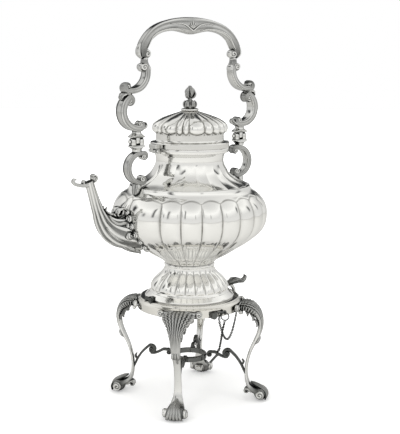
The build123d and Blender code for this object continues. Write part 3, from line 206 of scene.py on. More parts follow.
def patch_arrays(grid, ends):
    """Quads between neighbouring rows and columns; ends are poles (fans of triangles) or a loop of rows."""
    rows, cols = grid.shape[:2]
    index = np.arange(rows * cols).reshape(rows, cols)
    if ends == "loop":
        index = np.vstack([index, index[:1]])
    after = np.roll(index, -1, axis=1)
    quads = np.stack([index[:-1], after[:-1], after[1:], index[1:]], -1).reshape(-1, 4)
    points = grid.reshape(-1, 3)
    fans = np.zeros((0, 3), int)
    if ends == "poles":
        first, last = rows * cols, rows * cols + 1
        points = np.vstack([points, grid[0].mean(0), grid[-1].mean(0)])
        low = np.stack([after[0], index[0], np.full(cols, first)], -1)
        high = np.stack([index[-1], after[-1], np.full(cols, last)], -1)
        fans = np.vstack([low, high])
    return points, quads, fans


def outward(points, quads, fans):
    """True if the skin's signed volume is positive, so its faces point outwards."""
    tris = np.vstack([quads[:, [0, 1, 2]], quads[:, [0, 2, 3]], fans])
    a, b, c = points[tris[:, 0]], points[tris[:, 1]], points[tris[:, 2]]
    return np.einsum("ij,ij->i", a, np.cross(b, c)).sum() > 0


def skin(name, patches, body, material, replaces=()):
    """One mesh from patches in millimetres: (grid, recess) or (grid, recess, ends).

    It rides on a body if one is named.
    """
    all_points, all_recess, loops, sizes = [], [], [], []
    count = 0
    for grid, recess, *rest in patches:
        ends = rest[0] if rest else "poles"
        points, quads, fans = patch_arrays(grid, ends)
        if not outward(points - points.mean(0), quads, fans):
            quads, fans = quads[:, ::-1], fans[:, ::-1]
        values = np.broadcast_to(recess, grid.shape[:2]).reshape(-1)
        if ends == "poles":
            values = np.append(values, [values[0], values[-1]])
        all_points.append(points)
        all_recess.append(values)
        loops += [(quads + count).reshape(-1), (fans + count).reshape(-1)]
        sizes += [np.full(len(quads), 4), np.full(len(fans), 3)]
        count += len(points)
    loops = np.concatenate(loops)
    sizes = np.concatenate(sizes)
    mesh = bpy.data.meshes.new(name)
    mesh.vertices.add(count)
    mesh.vertices.foreach_set("co", (np.vstack(all_points) * MM).astype(np.float32).reshape(-1))
    mesh.loops.add(len(loops))
    mesh.loops.foreach_set("vertex_index", loops.astype(np.int32))
    mesh.polygons.add(len(sizes))
    mesh.polygons.foreach_set("loop_start", np.concatenate([[0], np.cumsum(sizes)[:-1]]).astype(np.int32))
    mesh.polygons.foreach_set("use_smooth", np.ones(len(sizes), bool))
    layer = mesh.attributes.new("recess", "FLOAT", "POINT")
    layer.data.foreach_set("value", np.concatenate(all_recess).astype(np.float32))
    mesh.update(calc_edges=True)
    mesh.validate()
    obj = bpy.data.objects.new(name, mesh)
    scene.collection.objects.link(obj)
    mesh.materials.append(material)
    if body:
        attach(obj, body)
    if replaces:
        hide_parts(*replaces)
    return obj


def circle(count):
    """Angles all the way round, in even steps."""
    return np.linspace(0, 2 * np.pi, count, endpoint=False)


def smooth(low, high, x):
    """0 below low, 1 above high, and an S-shaped cubic between."""
    t = np.clip((x - low) / (high - low), 0, 1)
    return t * t * (3 - 2 * t)


def turned_about_z(patches, degrees):
    """The same patches turned about the vertical axis."""
    c, s = math.cos(math.radians(degrees)), math.sin(math.radians(degrees))
    matrix = np.array([[c, -s, 0], [s, c, 0], [0, 0, 1]])
    return [(grid @ matrix.T, *rest) for grid, *rest in patches]

# %% [markdown]
# ## Silver
# Polished plate is a warm mirror with a faint haze of handling marks. Where the cloth never reaches, the
# tarnish stays grey-black. The same dark mask also carries painted shade: corners darkened by ambient
# occlusion and many pieces darkened along their length, and each silver darkens where it turns from view.
# One node group makes both masks, and each silver sets how much of them it takes.

# %% Node groups and silvers
def patina_and_shade_group():
    """Group: tarnishing and painted shade from the stored recess, corner shade and noise; roughness; a fine
    height.
    """
    group = bpy.data.node_groups.new("patina_and_shade", "ShaderNodeTree")
    for way, labels in (("INPUT", ("Recess Weight", "Corner Weight", "Haze")),
                        ("OUTPUT", ("Tarnish And Shade", "Roughness", "Height"))):
        for label in labels:
            group.interface.new_socket(label, in_out=way, socket_type="NodeSocketFloat")
    calc = partial(math_node, group)
    inside = group.nodes.new("NodeGroupInput")
    outside = group.nodes.new("NodeGroupOutput")
    place = add(group, "TexCoord").outputs["Object"]

    def noise(scale, detail):
        return add(group, "TexNoise", Scale=scale, Detail=detail, Vector=place).outputs["Fac"]

    recess = add(group, "Attribute")
    recess.attribute_name = "recess"
    # Ambient occlusion darkens corners and creases: painted shade, which also stands for tarnish gathered
    # there
    corner = add(group, "AmbientOcclusion", Distance=0.006)
    corner.samples = 8
    shade = calc("SUBTRACT", 1.0, corner.outputs["AO"])
    shade = calc("MULTIPLY", calc("SUBTRACT", shade, 0.25, True), 1.9, True)
    broken = calc("ADD", calc("MULTIPLY", noise(70, 4), 1.3), 0.35)
    deep = calc("MULTIPLY", recess.outputs["Fac"], inside.outputs["Recess Weight"])
    corners = calc("MULTIPLY", shade, inside.outputs["Corner Weight"])
    # The dark mask: tarnish and painted shade from the recess values, and painted corner shade
    tarnish_and_shade_mask = calc("MULTIPLY", calc("MAXIMUM", deep, corners), broken, True)
    smear = calc("MULTIPLY", calc("SUBTRACT", noise(26, 5), 0.4, True), inside.outputs["Haze"])
    rough = calc("ADD", calc("ADD", smear, calc("MULTIPLY", tarnish_and_shade_mask, 0.35)), 0.06, True)
    for label, value in (("Tarnish And Shade", tarnish_and_shade_mask), ("Roughness", rough), ("Height", noise(420.0, 2.0))):
        fill(group, outside.inputs[label], value)
    return group


patina_and_shade = patina_and_shade_group()
EDGE_SHADE_POWER = 2.6


def silver(name, base, tarnish_and_shade_color, recess_weight, corner_weight, haze, bump=0.02, edge=0.0, curve=1.0):
    """A metal with the group's mask of tarnishing and painted shade mixed into its colour and roughness.

    Edge is how dark the metal turns where it curves out of sight, from the Facing value to EDGE_SHADE_POWER:
    painted shade at the silhouettes. The mixing factor is raised to the power of curve, so a curve under one
    makes faint darkening show more.
    """
    material = bpy.data.materials.new(name)
    material.use_nodes = True
    tree = material.node_tree
    masks = add(tree, "Group")
    masks.node_tree = patina_and_shade
    for label, value in (("Recess Weight", recess_weight), ("Corner Weight", corner_weight), ("Haze", haze)):
        fill(tree, masks.inputs[label], value)
    facing = add(tree, "LayerWeight", Blend=0.5).outputs["Facing"]
    # Painted shade: the colour darkens where the surface turns away from the camera, by Facing to a power
    # times edge
    edge_shade = math_node(tree, "MULTIPLY", math_node(tree, "POWER", facing, EDGE_SHADE_POWER), edge)
    tarnish_and_edge_shade = math_node(tree, "MAXIMUM", masks.outputs["Tarnish And Shade"], edge_shade)
    color = mix_color(tree, math_node(tree, "POWER", tarnish_and_edge_shade, curve), (*base, 1), (*tarnish_and_shade_color, 1))
    relief = add(tree, "Bump", Strength=bump, Distance=0.0002, Height=masks.outputs["Height"])
    for label, value in (("Metallic", 1.0), ("Base Color", color), ("Roughness", masks.outputs["Roughness"]),
                         ("Normal", relief.outputs["Normal"])):
        fill(tree, tree.nodes["Principled BSDF"].inputs[label], value)
    return material


polished = silver("polished_silver", (0.93, 0.925, 0.90), (0.13, 0.125, 0.11), 0.8, 0.8, 0.3, edge=0.5)
ring_silver = silver("ring_silver", (0.84, 0.825, 0.78), (0.05, 0.048, 0.04), 1.0, 1.7, 0.3,
                     edge=0.5, curve=0.8)
cast = silver("cast_silver", (0.86, 0.86, 0.84), (0.025, 0.028, 0.026), 1.0, 1.9, 0.3,
              bump=0.05, edge=1.0, curve=0.6)
# A near-black silver for the arms, chains, burner and pins
dark_cast = silver("dark_silver", (0.15, 0.155, 0.15), (0.006, 0.007, 0.006), 1.0, 1.4, 0.4,
                   bump=0.06, edge=1.0, curve=0.6)

# %% [markdown]
# ## Lobed shells
# A silversmith raises the body over a stake and then sinks the valleys between the lobes with a thin hammer,
# so each lobe is nearly flat across and drops quickly into a narrow groove. Here the drop grows with a power
# of the distance from the lobe's middle, and a fine groove is added.

# %% Lobes round the axis
# Valleys in degrees: a narrow lobe faces the spout, a wide one stands on each side of it, the rest are equal
PITCH = 15.385
NARROW = [176.15, 183.85]
WIDE = 30.0
KETTLE_EDGES = np.array(NARROW + [NARROW[1] + WIDE + PITCH * k for k in range(20)])
# On the lid two valleys of each side stand nearer to the spout
LID_EDGES = KETTLE_EDGES.copy()
LID_EDGES[3:5] = [224.4, 234.2]
LID_EDGES[-3:-1] = [485.8, 495.6]


def lobe_columns(edges, samples=20):
    """Angles crowded towards each valley, and for each angle how far it is from its lobe's middle, 0 to 1."""
    t = 0.5 - 0.5 * np.cos(np.pi * np.arange(samples) / samples)
    width = np.diff(np.append(edges, edges[0] + 360))
    angle = edges[:, None] + width[:, None] * t
    off = np.broadcast_to(np.abs(2 * t - 1), angle.shape)
    return np.radians(angle.reshape(-1)), off.reshape(-1)


def around(radius, height, angle):
    """Points at a radius and height for every angle; radius and height are rows by columns."""
    height = np.broadcast_to(height, radius.shape)
    return np.stack([radius * np.cos(angle), radius * np.sin(angle), height], -1)


def lobed(outside, depths, edges, power=2.6, groove=0.35, valley=(0.07, 0.055), arch=0.0, arch_z=0.0,
          count=110, hem=None):
    """Rows of lobes: the radius falls from the crown by depth times off to a power, and by a fine groove.

    outside holds (radius, height) points of the crown, depths holds (height, depth of the valleys), and
    valley holds the widths of the groove and of the darkening in it. Each lobe also darkens towards its
    edges, as painted shade. With an arch the lobes end at an edge that is curved across each of them. With a
    hem (height, rise, inner radius) they end in scallops over a band.
    """
    line = spline(outside, count)
    angle, off = lobe_columns(edges)
    r, z = line[:, :1], line[:, 1:]
    level = z + arch * off**2
    d = np.interp(level, [p[0] for p in depths], [p[1] for p in depths])
    cut = np.exp(-(((1 - off) / valley[0]) ** 2))
    keep = np.clip(d / 0.6, 0, 1)
    radius = r - d * off**power - groove * cut * keep
    tarnish_and_shade = np.exp(-(((1 - off) / valley[1]) ** 2)) * keep * 0.9
    # Each lobe darkens towards its edges: painted shade for the turn of the convex lobe
    tarnish_and_shade = np.maximum(tarnish_and_shade, 0.2 * off**6 * keep)
    if hem:
        hem_z, rise, inner = hem
        over = z - rise * off**2 - hem_z
        radius = inner + (radius - inner) * np.sqrt(smooth(-0.5, 2.2, over))
        # A dark line where the scallops overhang the band: painted shade under them
        tarnish_and_shade = np.maximum(tarnish_and_shade, np.exp(-((over / 1.1) ** 2)) * 1.1)
    if arch:
        near = z > arch_z - 6
        radius = radius + 0.7 * smooth(-0.8, 0.8, level - arch_z) * near
        tarnish_and_shade = np.maximum(tarnish_and_shade, np.exp(-(((level - arch_z + 0.9) / 0.8) ** 2)) * near * 0.8)
    return around(radius, z, angle), tarnish_and_shade


def plain_rows(profile, count, edges):
    """Round rows through (radius, height) points, with the same columns as the lobed rows they join."""
    line = spline(profile, count) if count else np.asarray(profile, float)
    angle, off = lobe_columns(edges)
    radius = np.broadcast_to(line[:, :1], (len(line), len(angle)))
    return around(radius, line[:, 1:], angle), np.zeros((len(line), len(angle)))


def stack(*parts):
    """Join (grid, recess) rows end to end into one patch."""
    return np.vstack([p[0] for p in parts]), np.vstack([p[1] for p in parts])


# %% Body of the kettle
belly_outside = [
    (29.2, 165.4), (34.6, 170.2), (46.2, 176.9), (57.4, 184), (71.5, 193), (84.3, 204), (90, 214),
    (91.6, 224), (90.7, 232), (87.2, 240), (81, 247), (74, 251.6), (71.2, 254.4), (69.6, 258.2)
]
belly_depths = [
    (165.4, 0.2), (172, 0.8), (184, 1.7), (204, 2.8), (224, 3.2), (240, 2.8), (247, 1.6), (250.4, 0)
]
belly_inside = [
    (57.3, 258.2), (70.3, 251), (83.2, 240), (88.2, 224), (80.3, 204), (67.5, 194), (43, 178.4), (26, 168),
    (8, 168)
]
belly = stack(plain_rows([(4, 165.4), (29, 165.4)], 0, KETTLE_EDGES),
              lobed(belly_outside, belly_depths, KETTLE_EDGES, arch=3.2, arch_z=250.0, count=130),
              plain_rows(belly_inside, 60, KETTLE_EDGES))
# Painted shade: grey patches hang in the lower third of the belly, where the shell turns under
UNDERSIDE_SHADE_Z, UNDERSIDE_SHADE_SPREAD, UNDERSIDE_SHADE_DEPTH = 180.0, 7.0, 0.42
x, y, z = np.moveaxis(belly[0], -1, 0)
underside_shade = np.exp(-(((z - UNDERSIDE_SHADE_Z) / UNDERSIDE_SHADE_SPREAD) ** 2)) * (0.5 + 0.5 * np.sin(3.0 * np.arctan2(y, x)))
belly = (belly[0], np.maximum(belly[1], UNDERSIDE_SHADE_DEPTH * underside_shade))

neck_outside = [
    (66.8, 258.2), (57.6, 262.5), (50.6, 267.1), (45.1, 272.4), (41.8, 279), (39.6, 286), (40.3, 292),
    (42.3, 296.2)
]
neck_depths = [(258.2, -2.2), (262.5, -2.3), (267, -1.8), (272.4, -1.1), (279, -0.4), (284, 0)]
neck_rim = [
    (42.5, 296.4), (45, 296.4), (45.6, 297), (45.6, 301.8), (45.2, 302.2), (42.1, 302.2), (41.7, 301.8),
    (41.7, 297.4)
]
neck_inside = [(38.6, 291), (38.2, 285), (43, 270.4), (55.5, 259.5), (57.3, 258.2)]
neck = stack(lobed(neck_outside, neck_depths, KETTLE_EDGES, power=2.2, groove=0.0, count=60),
             plain_rows(neck_rim, 0, KETTLE_EDGES), plain_rows(neck_inside, 30, KETTLE_EDGES))

foot_outside = [
    (47.5, 131.4), (45.8, 133.8), (46.7, 136.5), (44.9, 141.5), (40.6, 147), (35, 152), (31.2, 156.5),
    (29.5, 161), (30.3, 163.2), (29.3, 165.2)
]
foot_depths = [(134.4, 0), (136.2, 1.7), (141.5, 2.7), (147, 2.4), (152, 1.7), (156.5, 1), (161, 0.1)]
foot_inside = [
    (26.8, 165.2), (26.8, 159.9), (29.4, 154), (35.6, 147.9), (40.3, 142), (42.8, 136.9), (43.5, 131.4)
]
kettle_foot = stack(plain_rows([(43.6, 131.2), (47.6, 131.2)], 0, KETTLE_EDGES),
                    lobed(foot_outside, foot_depths, KETTLE_EDGES, power=2.0, count=60),
                    plain_rows(foot_inside, 30, KETTLE_EDGES))

lid_outside = [
    (42.4, 317.6), (44, 321.4), (44.4, 325.3), (41.8, 329.8), (34.2, 334.8), (24.6, 338.6), (15.4, 341.6),
    (9.8, 343.4)
]
lid_depths = [
    (317.6, 2.2), (321, 2.8), (325.3, 3.2), (329.4, 3), (334.4, 2.6), (338.2, 1.9), (341.6, 0.8),
    (343.4, 0.1)
]
lid_inside = [
    (2, 343.4), (2, 340.5), (8, 340.4), (20, 337.6), (30.4, 333.6), (38, 329), (40.6, 325), (39.8, 321),
    (37.8, 317.6)
]
# Wide dark valleys on the lid: tarnish in the grooves, and painted shade in their width
lid_dome = stack(lobed(lid_outside, lid_depths, LID_EDGES, power=2.0, groove=0.5, valley=(0.14, 0.12),
                       hem=(318.6, 2.6, 39.9)),
                 plain_rows(lid_inside, 40, LID_EDGES))

# %% [markdown]
# ## Scroll bands
# Handle, brackets, arms and legs are cast scrolls. Each is a band carried along a path in an upright plane,
# with its own thickness and width at every point. Backs are hollowed or ribbed and sides are sunk between
# raised rims, as the founder's pattern had them. The ends run into volutes: discs with a spiral ridge.

# %% Bands and volutes
def swept(line, n, y):
    """Points at distances n along the normal of a path in the XZ plane, and y across the plane."""
    along = np.gradient(line[:, :2], axis=0)
    along /= np.linalg.norm(along, axis=1, keepdims=True)
    x = line[:, :1] - along[:, 1:] * n
    z = line[:, 1:2] + along[:, :1] * n
    return np.stack([x, y, z], -1)


def band(stations, rows=80, cols=48, square=0.62, hollow=0.0, ribs=0, rib=0.0, side=0.0, scallop=0.0, beads=0,
         tarnish_and_shade=0.06):
    """A closed band along (x, z, half thickness, half width) stations in the XZ plane.

    The section is a rounded rectangle: cosine and sine to a power under one. Its back sinks by hollow in the
    middle or waves by rib across it. Its sides sink by side. Its width swells by scallop, beads times. The
    last argument darkens the band evenly, partly as tarnishing and partly as painted shade, half as much on
    rib crests. Hollow, rib, side, scallop and that darkening may be lists of values along the band.
    """
    line = spline(stations, rows)
    s = np.linspace(0, 1, rows)[:, None]
    lists = [np.atleast_1d(value) for value in (hollow, rib, side, scallop, tarnish_and_shade)]
    hollow, rib, side, scallop, tarnish_and_shade = [np.interp(s, np.linspace(0, 1, len(v)), v) for v in lists]
    phi = circle(cols)
    co, si = np.cos(phi), np.sin(phi)
    lift = np.sign(co) * np.abs(co) ** square
    out = np.sign(si) * np.abs(si) ** square
    back = smooth(0.15, 0.6, co)
    flank = smooth(0.35, 0.8, np.abs(si)) * np.exp(-((lift / 0.55) ** 2))
    wave = 0.5 + 0.5 * np.cos(np.pi * ribs * out) if ribs else np.zeros_like(out)
    groove = (1 - smooth(0.45, 0.85, np.abs(out))) * back
    thick, wide = line[:, 2:3], line[:, 3:4]
    lobes = 1 + scallop * (np.abs(np.sin(np.pi * beads * s)) - 0.4)
    n = thick * lift - hollow * groove - rib * (1 - wave) * back
    y = wide * lobes * out - side * np.sign(out) * flank
    recess = np.clip(1.1 * (hollow > 0.2) * back * np.exp(-((np.abs(out) - 0.62) / 0.1) ** 2), 0, 1)
    recess = np.maximum(recess, np.clip(1.6 * rib, 0, 1) * (1 - wave) ** 0.9 * back)
    line_in_side = np.exp(-(((np.abs(lift) - 0.45) / 0.16) ** 2))
    recess = np.maximum(recess, flank * np.clip(side * 2, 0, 1) * line_in_side)
    # Even darkening along the band, partly tarnish and partly painted shade; rib crests keep half of it
    recess = np.maximum(recess, tarnish_and_shade * (1 - 0.5 * wave * (rib > 0.2)))
    return swept(line, n, y), recess


def volute(center, axis, radius, half, turns=1.6, hand=1, ridge=0.1):
    """A disc facing both ways along axis, whose faces carry a spiral ridge."""
    rho = np.concatenate([np.linspace(0.03, 1, 18), np.linspace(1, 0.03, 18)])[:, None]
    sign = np.concatenate([np.ones(18), -np.ones(18)])[:, None]
    theta = circle(32)
    wave = np.cos(2 * np.pi * turns * rho - hand * theta)
    face = np.clip((1 - rho) * 5, 0, 1) ** 0.5
    height = sign * half * (0.35 + 0.65 * face) * (1.1 - 0.25 * rho**2) + sign * ridge * radius * wave * face
    axis = np.asarray(axis, float) / np.linalg.norm(axis)
    u = np.cross(axis, (0, 0, 1.0)) if abs(axis[2]) < 0.9 else np.array([1.0, 0, 0])
    u /= np.linalg.norm(u)
    v = np.cross(axis, u)
    grid = (center + (rho * radius * np.cos(theta))[..., None] * u
            + (rho * radius * np.sin(theta))[..., None] * v + height[..., None] * axis)
    return grid, np.clip(-wave - 0.2, 0, 1) * face * 0.9


def knop(center, profile, cols=40, square=1.0, lobes=0, lobe=0.0, limit=None, turn=0.0):
    """A turned piece on an upright axis from (radius, height) points.

    It may be squared off or lobed, and cut flat in y past the (height, room) points of limit.
    """
    line = spline(profile, 8 * len(profile))
    theta = circle(cols)
    co, si = np.cos(theta), np.sin(theta)
    wave = np.abs(np.cos(0.5 * lobes * (theta + turn))) if lobes else np.ones_like(theta)
    r = np.maximum(line[:, :1], 0.05) * (1 - lobe * (1 - wave))
    x = r * np.sign(co) * np.abs(co) ** square
    y = r * np.sign(si) * np.abs(si) ** square
    if limit is not None:
        room = np.interp(line[:, 1:], [p[0] for p in limit], [p[1] for p in limit])
        y = np.clip(y, -room, room)
    z = np.broadcast_to(line[:, 1:], x.shape)
    recess = np.broadcast_to((1 - wave) ** 2 * (lobe > 0), x.shape)
    return np.stack([x, y, z], -1) + center, recess


def lug(x0, x1, base):
    """A knuckle on the swing axis: a disc along X from x0 to x1, whose one half runs straight on to base."""
    a = circle(48)
    toward = 1.0 if base > 0 else -1.0
    y = LUG_RADIUS * np.cos(a)
    z = LUG_RADIUS * np.sin(a)
    z = np.where(z * toward > 0, base * np.abs(np.sin(a)) ** 0.15, z)
    rows = np.array([[x0, 0.9], [x0 + 0.3, 1.0], [x1 - 0.3, 1.0], [x1, 0.9]])
    x = np.broadcast_to(rows[:, :1], (4, 48))
    grid = np.stack([x, rows[:, 1:] * y, np.broadcast_to(z, (4, 48))], -1) + SWING
    return grid, np.zeros((4, 48))


# %% [markdown]
# ## Swing handle
# The bail is cast in three: a grip with a shell in its middle, and two sides of a double C scroll. The sides
# are made once, on the rear side, and turned half round for the front, as if cast from one pattern.

# %% Joints, sides and grip of the bail
SWING = (72.5, 0, 311.5)
LUG_RADIUS = 4.0
ALONG_Y = (0, 1, 0)
BELL = [(5.2, -11.3), (5, -10.2), (5.9, -8.4), (8, -6.6), (9.3, -5.6), (9.3, -4.7), (8.6, -4.3)]
BELL_ROOM = [(-11.3, 8), (-8.3, 8.1), (-4.3, 4.1)]


def swing_fork():
    """The bracket's half of a swing joint: a bell that carries two lugs."""
    bell = knop(SWING, BELL, square=0.8, limit=BELL_ROOM)
    return [bell, lug(2.6, 7.8, -5.0), lug(-7.8, -2.6, -5.0)]


def swing_tongue():
    """The bail's half of a swing joint: the same bell upside down, with one lug between the two."""
    grid, recess = knop((0, 0, 0), BELL, square=0.8, limit=BELL_ROOM)
    return [(grid * (1, -1, -1) + SWING, recess), lug(-2.45, 2.45, 5.0)]


def shifted(patch, dy):
    """The same patch moved sideways."""
    grid, recess, *rest = patch
    return (grid + (0, dy, 0), recess, *rest)


def curl(center, start, sweep, radius, inner, points=9):
    """Points of a spiral: the radius shrinks evenly from radius to inner while the angle turns by sweep."""
    a = np.radians(np.linspace(start, start + sweep, points))
    r = np.linspace(radius, inner, points)
    return np.stack([center[0] + r * np.cos(a), center[1] + r * np.sin(a)], -1)


def with_sizes(path, thick, wide):
    """Stations for band(): sizes are spread evenly along the path's points."""
    s = np.linspace(0, 1, len(path))
    t = np.interp(s, np.linspace(0, 1, len(thick)), thick)
    w = np.interp(s, np.linspace(0, 1, len(wide)), wide)
    return np.column_stack([path, t, w])


def arc(center, radius, start, end, points=9):
    """Points of a circle's arc."""
    return curl(center, start, end - start, radius, radius, points)


def mirrored(half):
    """Stations given from the middle out to +X, run from end to end."""
    return [(-x, *rest) for x, *rest in half[:0:-1]] + half


lower_path = np.vstack([curl((83.6, 356.4), 98 + 330, -330, 1.6, 5.0), arc((72.5, 345.5), 19.3, 46, -92, 12),
                        curl((69.6, 330.4), -96, -300, 4.4, 1.5)])
lower_thick = [0.9, 1.8, 3.4, 4.3, 4.5, 4.3, 3.5, 1.8, 0.9]
lower_wide = [3.4, 5.0, 7.0, 8.0, 8.2, 7.8, 6.4, 4.8, 3.4]
upper_path = np.vstack([[(61.6, 403), (61.8, 399), (60.6, 395)], arc((80.5, 389), 20.8, 172, 272, 10),
                        curl((84.6, 372.4), 285, 290, 4.6, 1.5)])
upper_thick = [2.8, 4.0, 3.5, 3.6, 3.5, 3.0, 1.9, 0.9]
upper_wide = [4.8, 6.2, 7.4, 8.4, 8.2, 6.8, 5.0, 3.2]
# Along each C the even darkening is heaviest towards the volutes and nearly nil mid-way: painted shade
bail_side = [
    band(with_sizes(lower_path, lower_thick, lower_wide), rows=150, side=0.7,
         hollow=[0.2, 0.6, 1.1, 1.2, 1.1, 0.6, 0.2], tarnish_and_shade=[1.0, 0.8, 0.4, 0.12, 0.03, 0.03, 0.2, 0.7, 1.0]),
    band(with_sizes(upper_path, upper_thick, upper_wide), rows=130, side=0.6,
         hollow=[0.1, 0.5, 0.9, 0.9, 0.5, 0.2], tarnish_and_shade=[0.6, 0.3, 0.03, 0.03, 0.2, 0.5, 0.9, 1.0]),
    volute((83.8, 0, 356.6), ALONG_Y, 4.6, 5.4), volute((69.4, 0, 330.6), ALONG_Y, 3.6, 5.2, hand=-1),
    volute((85.0, 0, 372.2), ALONG_Y, 4.0, 5.0), volute((64.4, 0, 393.6), ALONG_Y, 5.0, 6.2, hand=-1),
    band([(60.6, 396.6, 1, 3), (58.4, 394.4, 2, 5.4), (57.6, 390.6, 1.8, 5.8), (59.4, 387.2, 1, 4)],
         rows=30, ribs=5, rib=0.5),
    band([(80, 363.4, 1.4, 4), (84.8, 365.2, 1.9, 6), (89.6, 364.4, 1.6, 6.2), (92.6, 361, 1.1, 4.4),
          (91.8, 358, 0.7, 2.6)], rows=44, ribs=5, rib=0.6, scallop=0.2, beads=3),
    band([(67.4, 326.4, 1.5, 4.4), (63.6, 326.8, 1.6, 5.6), (60.9, 329.4, 1.2, 4.8), (61.2, 332.6, 0.8, 2.8)],
         rows=40, ribs=5, rib=0.5, scallop=0.2, beads=3),
    band([(72.6, 330.5, 2.6, 4.2), (72.5, 325.5, 3.4, 5), (72.5, 321.5, 4.8, 5.2)], rows=20),
] + swing_tongue()

grip = [
    (0, 440.2, 9.8, 6.2), (9, 440.9, 9, 6.2), (18, 441.3, 7.8, 6.1), (27, 440.8, 6.8, 6.1),
    (39.8, 438, 6, 6.1), (50.3, 433, 5.6, 6.1), (59.1, 425, 5.2, 6.2), (64.6, 415.2, 4.8, 6.2),
    (63.8, 405.4, 3.6, 5.4)
]
# The grip darkens towards its ends and beside the shell, and stays bright between: painted shade
bail_grip = [band(mirrored(grip), rows=200, square=0.6, hollow=[0.3, 0.9, 0.5, 0.1, 0.5, 0.9, 0.3],
                  side=[0.4, 0.8, 0.7, 0.4, 0.7, 0.8, 0.4],
                  tarnish_and_shade=[0.7, 0.35, 0.08, 0.02, 0.12, 0.3, 0.12, 0.02, 0.08, 0.35, 0.7])]
# Raised lines on each face: one bows down to a point under the shell, two follow the lower edge
BOW_LINE = [
    (0, 434.6, 0.9, 1.5), (4.5, 437.4, 0.8, 1.4), (11, 441.2, 0.7, 1.3), (20, 442.6, 0.6, 1.1),
    (30, 441.6, 0.3, 0.6)
]
EDGE_LINE = [
    (61, 414, 0.4, 0.8), (52, 428.6, 0.6, 1.2), (38, 435, 0.6, 1.2), (22, 436.6, 0.5, 1.1),
    (11, 434.4, 0.3, 0.6)
]
for hand in (-1, 1):
    bail_grip.append(shifted(band(mirrored(BOW_LINE), rows=90, cols=20, tarnish_and_shade=0.0), hand * 5.9))
    for way in (-1, 1):
        edge_line = [(way * x, *rest) for x, *rest in EDGE_LINE]
        bail_grip.append(shifted(band(edge_line, rows=60, cols=20, tarnish_and_shade=0.0), hand * 5.4))
for hand in (-1, 1):
    bail_grip += [
        volute((hand * 59.8, 0, 408.6), ALONG_Y, 5.0, 5.0, hand=hand),
        band([(hand * 62.0, 404.4, 2.6, 4.2), (hand * 61.7, 402.6, 3.4, 4.5), (hand * 61.7, 401.8, 3.0, 4.2)],
             rows=12),
        band([(hand * 66.0, 421.0, 0.6, 2.2), (hand * 69.4, 414.8, 1.3, 4.2), (hand * 69.6, 408.4, 1.5, 4.4),
              (hand * 66.2, 403.8, 0.8, 2.6)], rows=34, ribs=5, rib=0.4)]
SHELL_ROOT = np.array([0.0, 437.0])
for tilt, reach in ((0, 9), (28, 7.8), (-28, 7.8), (54, 6.2), (-54, 6.2)):
    # The shell in the middle of the grip: five petals through its width, fanned from its lower edge
    a = math.radians(90 + tilt)
    tip = SHELL_ROOT + reach * np.array([math.cos(a), math.sin(a)])
    middle = 0.5 * (SHELL_ROOT + tip)
    petal = [(*SHELL_ROOT, 0.7, 6.6), (*middle, 1.7, 7.3), (*tip, 0.9, 6.5)]
    bail_grip.append(band(petal, rows=18, square=0.9))

# %% Brackets
bracket_path = np.vstack([curl((65, 294.2), 92 + 290, -290, 1.4, 4.4), arc((68, 281.5), 16.9, 84, -80, 12),
                          curl((67, 268.9), -94, -300, 4.3, 1.4)])
bracket_thick = [0.9, 1.8, 2.8, 3.3, 3.5, 3.3, 2.8, 1.8, 0.9]
bracket_wide = [3.2, 4.6, 5.8, 6.4, 6.6, 6.4, 5.8, 4.6, 3.2]
# Along the bracket's C the even darkening is heaviest towards the volutes: painted shade
bracket = [
    band(with_sizes(bracket_path, bracket_thick, bracket_wide), rows=140, side=0.7,
         hollow=[0.1, 0.6, 1.1, 1.3, 1.1, 0.6, 0.1], tarnish_and_shade=[1.0, 0.8, 0.4, 0.25, 0.2, 0.25, 0.5, 0.8, 1.0]),
    volute((65.0, 0, 294.4), ALONG_Y, 3.9, 4.6), volute((66.8, 0, 268.8), ALONG_Y, 4.2, 5.2, hand=-1),
    band([(72, 301.5, 3.6, 4.6), (72.3, 299, 3, 4.4), (71.5, 296.6, 3.2, 4.6)], rows=14),
    band([(70, 268, 2.4, 4), (72.4, 262.6, 3.6, 5), (73.4, 257, 3.9, 5.2), (75.2, 251, 2.2, 4.2)],
         rows=34, ribs=5, rib=0.6, scallop=0.12, beads=3),
    band([(79.6, 272.6, 0.6, 1.6), (83.8, 277.6, 1.4, 3.4), (85.2, 283, 1.5, 3.6), (83.4, 289.6, 0.6, 1.8)],
         rows=30, ribs=5, rib=0.5),
] + swing_fork()

# %% [markdown]
# ## Spout
# The spout has long ridges that run up from its broad root, leaves along its back and scrolls on its flanks.
# More scrolls lie on the belly round the root, and a hood scroll and a beak end it. The tube is one ring of
# rows, out along its skin and back inside.

# %% Spout
SPOUT = [
    (-70, 211.5, 25, 18), (-80, 211.2, 23.4, 17.5), (-90, 211.2, 20.6, 16.2), (-100, 212.8, 17.6, 14.4),
    (-109.7, 217.6, 14.2, 12.4), (-117.3, 226, 10.4, 9.8), (-122.3, 236, 7.4, 7.4),
    (-125.9, 245.5, 6.3, 6.3), (-128.9, 255, 5.7, 5.7), (-131.9, 264.5, 5.4, 5.4), (-134.1, 270.5, 5.6, 5.8)
]


